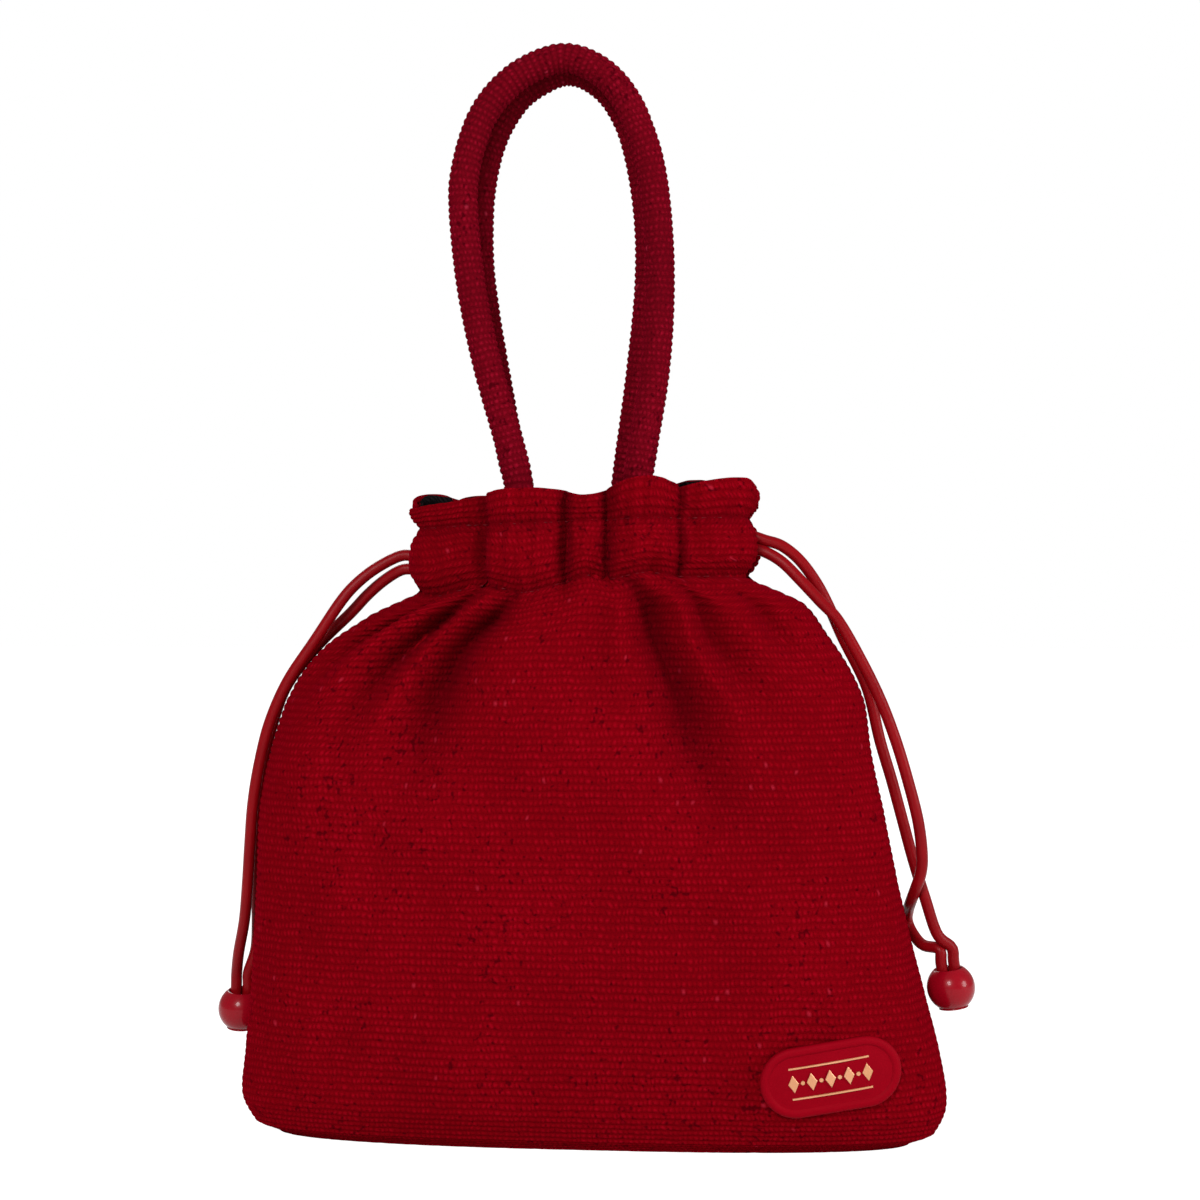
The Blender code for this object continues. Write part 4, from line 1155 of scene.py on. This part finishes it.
def buildDrawcord(name, node, side, near, far, front, back, bead, material):
    # one cord in three stretches: two free strands that end in the bead, and the run between them
    tilt = side * pouch["mouthTilt"]
    beside = (cords["diameter"] + cords["play"]) / 2
    outFront = slitPoints(side, near + tilt)
    outBack = [(x, -y, z) for x, y, z in slitPoints(side, far + tilt)]
    route = beadPoints(bead, -beside)[::-1] + list(front)[::-1] + outFront[::-1]
    split = [len(route) - 1]
    route += casingRun(side, near, far)
    split.append(len(route))
    route += outBack + list(back) + beadPoints(bead, beside)
    line = finely(route, cords["fineSteps"])
    cuts = [cords["fineSteps"] * place for place in split]
    stretches = {
        name + "FrontStrand": line[: cuts[0] + 1][::-1],
        name + "CasingRun": line[cuts[0] : cuts[1] + 1],
        name + "BackStrand": line[cuts[1] :],
    }
    for label, stretch in stretches.items():
        path = evenPoints(stretch[:: cords["keepEvery"]], cords["step"])
        piece = tubePiece(label, path, cords["diameter"] / 2, cords["sides"])
        piece.data.materials.append(material)
        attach(piece, "root")
        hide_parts(node)
    return stretches


def buildBead(name, node, bead, material):
    # turned ball with a flat underside and rounded edges to its bore
    radius = cords["beadDiameter"] / 2
    bore = cords["diameter"] + 2 * cords["play"]
    top = math.asin(bore / radius)
    bottom = math.pi - math.acos((radius - cords["beadFlat"]) / radius)
    topZ, low, edge = radius * math.cos(top), -(radius - cords["beadFlat"]), radius * math.sin(bottom)
    profile = [(bore + out, topZ + rise) for out, rise in ((0.0, -0.0016), (0.0001, -0.0006))]
    for angle in np.linspace(top + 0.05, bottom - 0.06, cords["beadRings"]):
        profile.append((radius * math.sin(angle), radius * math.cos(angle)))
    profile += [(edge - 0.0002, low + 0.0002), (edge - 0.0007, low)]
    profile += [(bore + out, low + rise) for out, rise in ((0.0005, 0.0), (0.0001, 0.0002), (0.0, 0.0008))]
    turn = np.linspace(0.0, 2 * math.pi, cords["beadSides"], endpoint=False)
    grid = np.array([[(r * math.cos(t), r * math.sin(t), z) for t in turn] for r, z in profile])
    index = np.arange(grid.shape[0] * cords["beadSides"]).reshape(-1, cords["beadSides"])
    faces = gridFaces(np.concatenate([index, index[:1]]), closed=True)
    rotation = Vector(bead[1]).to_track_quat("Z", "Y").to_matrix()
    points = grid.reshape(-1, 3) @ np.array(rotation).T + np.array(bead[0])
    piece = newPiece(name, points, faces)
    outward(piece.data)
    piece.data.materials.append(material)
    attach(piece, "root")
    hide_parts(node)
    return piece


# handles

handles = {
    "diameter": 0.0104,
    "wall": 0.0016,
    "footDepth": 0.0080,
    "seatGap": 0.0010,
    "topGap": 0.0006,
    "coreGap": 0.0003,
    "coreSides": 14,
    "ribPitch": 0.0023,
    "ribDepth": 0.00060,
    "unevenness": 0.7,
    "seed": 5.0,
    "sides": 36,
    "seatAt": 0.2,  # share of the header's height where a foot meets the facing
}

# middle line: x, height above the rim, share of the way from the foot to the top
frontHandleLine = (
    (-0.0232, 0.0045, 0.00), (-0.0264, 0.0180, 0.09), (-0.0344, 0.0455, 0.28), (-0.0403, 0.0732, 0.46),
    (-0.0433, 0.1012, 0.65), (-0.0420, 0.1158, 0.76), (-0.0372, 0.1308, 0.86), (-0.0290, 0.1418, 0.93),
    (-0.0190, 0.1485, 0.98), (-0.0085, 0.1512, 1.00), (0.0015, 0.1478, 0.98), (0.0100, 0.1400, 0.93),
    (0.0167, 0.1275, 0.85), (0.0222, 0.1070, 0.71), (0.0246, 0.0760, 0.50), (0.0234, 0.0449, 0.28),
    (0.0195, 0.0177, 0.09), (0.0176, 0.0042, 0.00),
)
backHandleLine = (
    (-0.0262, 0.0030, 0.00), (-0.0291, 0.0142, 0.08), (-0.0330, 0.0356, 0.23), (-0.0378, 0.0638, 0.42),
    (-0.0401, 0.0850, 0.56), (-0.0394, 0.1080, 0.71), (-0.0350, 0.1265, 0.84), (-0.0268, 0.1400, 0.93),
    (-0.0170, 0.1470, 0.98), (-0.0080, 0.1495, 1.00), (0.0010, 0.1462, 0.98), (0.0090, 0.1380, 0.92),
    (0.0150, 0.1240, 0.83), (0.0190, 0.1010, 0.67), (0.0194, 0.0760, 0.50), (0.0163, 0.0460, 0.30),
    (0.0118, 0.0142, 0.08), (0.0105, 0.0030, 0.00),
)


def footPlace(x, side):
    # y of a foot, so that the tube lies against the facing inside the header
    reach = handles["diameter"] / 2 + handles["seatGap"] + pouch["cloth"] + pouch["fitGap"]
    reach += facing["thickness"]
    angles = np.radians(np.arange(360.0))
    seat = pouch["casing"] + handles["seatAt"] * pouch["header"]
    rim = mouthPoint(angles, np.full(360, seat))
    near = (rim[:, 1] * side > 0) & (np.abs(rim[:, 0] - x) < reach)
    return side * np.min(np.abs(rim[near, 1]) - np.sqrt(reach**2 - (rim[near, 0] - x) ** 2))


def handleRoute(line, side):
    topY = side * (handles["diameter"] + handles["topGap"]) / 2
    feet = [footPlace(x, side) for x, _, _ in (line[0], line[-1])]
    points = []
    for x, height, share in line:
        foot = feet[0] if x < pouch["mouthOffset"] else feet[1]
        points.append((x, foot + (topY - foot) * share, rimZ + height))
    ends = [(x, y, rimZ - handles["footDepth"]) for x, y, _ in (points[0], points[-1])]
    return evenPoints([ends[0], *points, ends[1]], handles["ribPitch"] / pouch["rowsPerRib"])


def buildHandleCore(name, node, line, side, material):
    # the filler cord inside a handle, as a smooth tube
    route = handleRoute(line, side)
    radius = handles["diameter"] / 2 - handles["wall"] - handles["coreGap"]
    core = tubePiece(name, route, radius, handles["coreSides"])
    core.data.materials.append(material)
    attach(core, "root")
    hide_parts(node)
    return core


def buildHandle(name, node, line, side, ribs, material):
    route = handleRoute(line, side)
    radius = handles["diameter"] / 2
    piece = tubePiece(
        name, route, radius, handles["sides"], (1.0, 0.0, 0.0), handles["ribPitch"], radius - handles["wall"]
    )
    values = {
        "Rib depth": handles["ribDepth"],
        "Unevenness": handles["unevenness"],
        "Seed": handles["seed"] + side,
        "Material": material,
    }
    applyModifierTree(piece, ribs, values)
    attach(piece, "root")
    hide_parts(node)
    return piece


# badge

badge = {
    "width": 0.0456,
    "height": 0.0232,
    "thickness": 0.0024,
    "rim": 0.0034,
    "recess": 0.0009,
    "centreX": 0.0811,
    "centreZ": 0.0294,
    "tilt": 8.5,
    "segments": 128,
    "foot": 0.0009,
    "edge": 0.0004,
    "crown": 0.55,
    "rimSteps": 12,
}


def frontFace(x, z):
    # point and outward direction of the smooth lower front
    def place(px, pz):
        left, right, deep, power = outlineAt(np.array(pz))
        share = abs(px - (left + right) / 2) / ((right - left) / 2)
        return Vector((px, -deep * (1.0 - share**power) ** (1.0 / power), pz))

    step = 0.001
    across = place(x + step, z) - place(x - step, z)
    upward = place(x, z + step) - place(x, z - step)
    return place(x, z), across.cross(upward).normalized()


def badgePoint(across, up, lift):
    tilt = math.radians(badge["tilt"])
    x = badge["centreX"] + across * math.cos(tilt) - up * math.sin(tilt)
    z = badge["centreZ"] + across * math.sin(tilt) + up * math.cos(tilt)
    place, out = frontFace(x, z)
    return place + out * lift


def ovalRing(inset):
    halfWidth, halfHeight = badge["width"] / 2 - inset, badge["height"] / 2 - inset
    straight = halfWidth - halfHeight
    ring = []
    for i in range(badge["segments"]):
        angle = 2 * math.pi * (i + 0.5) / badge["segments"]
        shift = math.copysign(straight, math.cos(angle))
        ring.append((shift + halfHeight * math.cos(angle), halfHeight * math.sin(angle)))
    return ring


def buildBadge(material):
    foot, rim = badge["foot"], badge["rim"]
    face = foot + badge["thickness"]
    floor = face - badge["recess"]
    half = badge["height"] / 2
    layers = [(0.96 * half, foot), (0.5 * half, foot), (0.0006, foot)]
    for i in range(badge["rimSteps"] + 1):  # rounded rim, from its outer foot over its crown
        turn = math.pi * i / badge["rimSteps"]
        inset = (rim - badge["edge"]) * (1.0 - math.cos(turn)) / 2
        rise = (badge["thickness"] - badge["edge"]) * math.sin(turn) ** badge["crown"]
        lift = foot + badge["edge"] + rise
        if turn > math.pi / 2 and lift < floor:
            lift = floor + 0.0001
        layers.append((inset, lift))
    layers += [(rim, floor), (rim + 0.0008, floor), (0.6 * half, floor), (0.96 * half, floor)]
    segments = badge["segments"]
    points = [badgePoint(a, b, lift) for inset, lift in layers for a, b in ovalRing(inset)]
    index = np.arange(len(points)).reshape(-1, segments)
    faces = gridFaces(index, closed=True)
    for ring in (index[0], index[-1]):
        near, far = ring[: segments // 2].tolist(), ring[segments // 2 :][::-1].tolist()
        faces += [(near[i], near[i + 1], far[i + 1], far[i]) for i in range(segments // 2 - 1)]
    piece = newPiece("badgePlaque", np.array([tuple(p) for p in points]), faces)
    outward(piece.data)
    piece.data.materials.append(material)
    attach(piece, "root")
    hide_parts("badge")
    return piece


# small raised ornament on the badge: lozenges and dots between two fine bars
ornament = {
    "lozenges": 5,
    "pitch": 0.0060,
    "lozengeWidth": 0.0034,
    "lozengeHeight": 0.0058,
    "dot": 0.0007,
    "barWidth": 0.0260,
    "barHeight": 0.0006,
    "barOffset": 0.0050,
    "raise": 0.00028,
}


def buildOrnament(material):
    floor = badge["foot"] + badge["thickness"] - badge["recess"] - 0.00005
    vertices, faces = [], []

    def addFlat(outlinePoints):
        start = len(vertices)
        count = len(outlinePoints)
        middleA = sum(a for a, _ in outlinePoints) / count
        middleB = sum(b for _, b in outlinePoints) / count
        for inset, lift in ((0.0, 0.0), (0.0, 0.6), (0.12, 1.0)):
            height = floor + ornament["raise"] * lift
            for a, b in outlinePoints:
                point = badgePoint(a + (middleA - a) * inset, b + (middleB - b) * inset, height)
                vertices.append(tuple(point))
        for layer in range(2):
            for i in range(count):
                j = (i + 1) % count
                low, high = start + layer * count, start + (layer + 1) * count
                faces.append((low + i, low + j, high + j, high + i))
        faces.append(tuple(range(start + 2 * count, start + 3 * count)))
        faces.append(tuple(range(start + count - 1, start - 1, -1)))

    for i in range(ornament["lozenges"]):
        middle = (i - (ornament["lozenges"] - 1) / 2) * ornament["pitch"]
        width, height = ornament["lozengeWidth"] / 2, ornament["lozengeHeight"] / 2
        addFlat([(middle + width, 0.0), (middle, height), (middle - width, 0.0), (middle, -height)])
        if i:
            turns = np.linspace(0.0, 2 * math.pi, 12, endpoint=False)
            gap = middle - ornament["pitch"] / 2
            addFlat([(gap + ornament["dot"] * math.cos(t), ornament["dot"] * math.sin(t)) for t in turns])
    for side in (-1, 1):
        xs = np.linspace(-ornament["barWidth"] / 2, ornament["barWidth"] / 2, 13)
        low = side * ornament["barOffset"] - ornament["barHeight"] / 2
        high = low + ornament["barHeight"]
        addFlat([(x, low) for x in xs] + [(x, high) for x in xs[::-1]])
    piece = newPiece("badgeOrnament", np.array(vertices), faces)
    outward(piece.data)
    piece.data.materials.append(material)
    for face in piece.data.polygons:
        face.use_smooth = False
    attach(piece, "root")
    return piece


# stitching along the casing

stitching = {
    "pitch": 0.0030,
    "length": 0.0023,
    "width": 0.0005,
    "sink": 0.00065,
    "offSeam": 0.05,
    "points": 260,
}


def buildStitching(name, start, stitches, material):
    vertices, edges = [], []
    for up in (0.0, pouch["casing"]):
        ends = (start + stitching["offSeam"], start + math.pi - stitching["offSeam"])
        line = mouthPoint(np.linspace(*ends, stitching["points"]), np.full(stitching["points"], up))
        middle = np.array([pouch["mouthOffset"], 0.0, 0.0])
        inwards = (middle - line) * (1.0, 1.0, 0.0)
        inwards /= np.linalg.norm(inwards, axis=1, keepdims=True)
        first = len(vertices)
        vertices += (line + inwards * stitching["sink"]).tolist()
        edges += [(first + i, first + i + 1) for i in range(stitching["points"] - 1)]
    mesh = bpy.data.meshes.new(name)
    mesh.from_pydata(vertices, edges, [])
    piece = linked(name, mesh)
    values = {
        "Stitch pitch": stitching["pitch"],
        "Stitch length": stitching["length"],
        "Thread width": stitching["width"],
        "Material": material,
    }
    applyModifierTree(piece, stitches, values)
    piece.data.shade_smooth()
    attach(piece, "root")
    return piece


# floor, backdrop and lamps

studio = {
    "floorSize": 14.0,
    "floorShade": 0.82,
    "floorGlow": 1.5,
    "floorGlowShare": 0.66,
    "worldStrength": 0.30,
    "lampsAimAt": (0.0, 0.0, 0.15),
    "lamps": (
        # name, place, size, power
        ("keyLamp", (-0.35, -1.8, 1.05), 0.7, 31.0),
        ("sideLamp", (1.7, -0.7, 0.6), 0.7, 19.0),
        ("rearLamp", (-0.6, 1.6, 1.2), 1.0, 14.0),
    ),
}
white = (1.0, 1.0, 1.0, 1.0)


def raysOf(tree, *kinds):
    # 1 or more for rays of these kinds
    rays = tree.node("ShaderNodeLightPath").socket.node.outputs
    return sum(Wire(tree, rays[f"Is {kind} Ray"]) for kind in kinds)


def buildStudio():
    half = studio["floorSize"] / 2
    mesh = bpy.data.meshes.new("floor")
    corners = [(x * half, y * half, 0) for x, y in ((-1, -1), (1, -1), (1, 1), (-1, 1))]
    mesh.from_pydata(corners, [], [(0, 1, 2, 3)])
    floor = linked("floor", mesh)
    material, tree = newShader("paleFloor")
    direct = raysOf(tree, "Camera", "Glossy", "Transmission")
    shade = studio["floorShade"]
    matte = tree.node("ShaderNodeBsdfDiffuse", None, {"Color": (shade, shade, shade, 1.0)})
    glow = tree.node("ShaderNodeEmission", None, {"Color": white, "Strength": studio["floorGlow"]})
    share = direct * studio["floorGlowShare"]
    mixed = tree.node("ShaderNodeMixShader", None, {0: share, 1: matte, 2: glow})
    tree.node("ShaderNodeOutputMaterial", None, {0: mixed})
    mesh.materials.append(material)

    world = bpy.data.worlds.new("studioWorld")
    world.use_nodes = True
    bpy.context.scene.world = world
    tree = Tree(world.node_tree)
    direct = raysOf(tree, "Camera", "Transmission")
    direct = direct.maths("MINIMUM", direct, 1.0)
    strength = direct * (1.0 - studio["worldStrength"]) + studio["worldStrength"]
    glow = tree.node("ShaderNodeBackground", None, {"Color": white, "Strength": strength})
    tree.node("ShaderNodeOutputWorld", None, {0: glow})

    for name, place, size, power in studio["lamps"]:
        data = bpy.data.lights.new(name, "AREA")
        data.shape = "DISK"
        data.size = size
        data.energy = power
        lamp = linked(name, data)
        lamp.location = place
        aim = Vector(studio["lampsAimAt"]) - Vector(place)
        lamp.rotation_euler = aim.to_track_quat("-Z", "Y").to_euler()
    bpy.context.scene.view_settings.view_transform = "Standard"


def main():
    makeCamera()
    redChenille, handleChenille, blackChenille = map(makeChenille, chenilleColours)
    satin = makeSatin("redSatinCord", "96040f", "600208")
    thread = makeSatin("redThread", "6a0610", "52040a")
    gloss = makeMoulded("redBeadGloss", "96061a", "820212", 0.28, 700.0, 0.05, 0.12, coat=0.14)
    softRed = makeMoulded("badgeRed", "8a0012", "800010", 0.6, 1800.0, 0.35, 0.03)
    gold = makeMoulded("badgeGold", "e0a07c", "c08858", 0.38, 2400.0, 0.3, 0.3, metallic=0.35)
    black = makePlainCloth("blackLining", "1c191c", "0a090a", 900.0)
    cotton = makePlainCloth("fillerCotton", "d8d0bc", "a89c84", 1100.0)
    print("materials made")

    ribs = buildRibTree()
    stitches = buildStitchTree()
    low = stitchZ + cords["level"] - cords["spacing"] / 2
    middle, high = low + cords["spacing"], low + 2 * cords["spacing"]
    leftBead = buildBead("leftBead", "left_bead", cords["leftBead"], gloss)
    rightBead = buildBead("rightBead", "right_bead", cords["rightBead"], gloss)
    buildDrawcord(
        "leftCord", "left_drawcord", -1, middle, low, leftFrontStrand, leftBackStrand,
        cords["leftBead"], satin,
    )
    buildDrawcord(
        "rightCord", "right_drawcord", 1, middle, high, rightFrontStrand, rightBackStrand,
        cords["rightBead"], satin,
    )
    print("cords and beads made")

    for name, node, start in (("frontPanel", "front_panel", 0.0), ("backPanel", "back_panel", math.pi)):
        panel = buildPanel(name, start, ribs, redChenille)
        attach(panel, "root")
        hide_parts(node)
        print(name, "made with", len(panel.data.polygons), "faces")
    inside = buildFacing(ribs, blackChenille)
    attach(inside, "root")
    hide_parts("mouth_facing")
    pocket = buildLining(black)
    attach(pocket, "root")
    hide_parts("lining")
    print("facing and lining made")

    buildHandle("frontHandle", "front_handle", frontHandleLine, -1, ribs, handleChenille)
    buildHandle("backHandle", "back_handle", backHandleLine, 1, ribs, handleChenille)
    buildHandleCore("frontHandleCore", "front_handle_core", frontHandleLine, -1, cotton)
    buildHandleCore("backHandleCore", "back_handle_core", backHandleLine, 1, cotton)
    print("handles made")

    buildBadge(softRed)
    buildOrnament(gold)
    buildStitching("frontStitching", 0.0, stitches, thread)
    buildStitching("backStitching", math.pi, stitches, thread)
    print("badge and stitching made")
    buildStudio()


main()
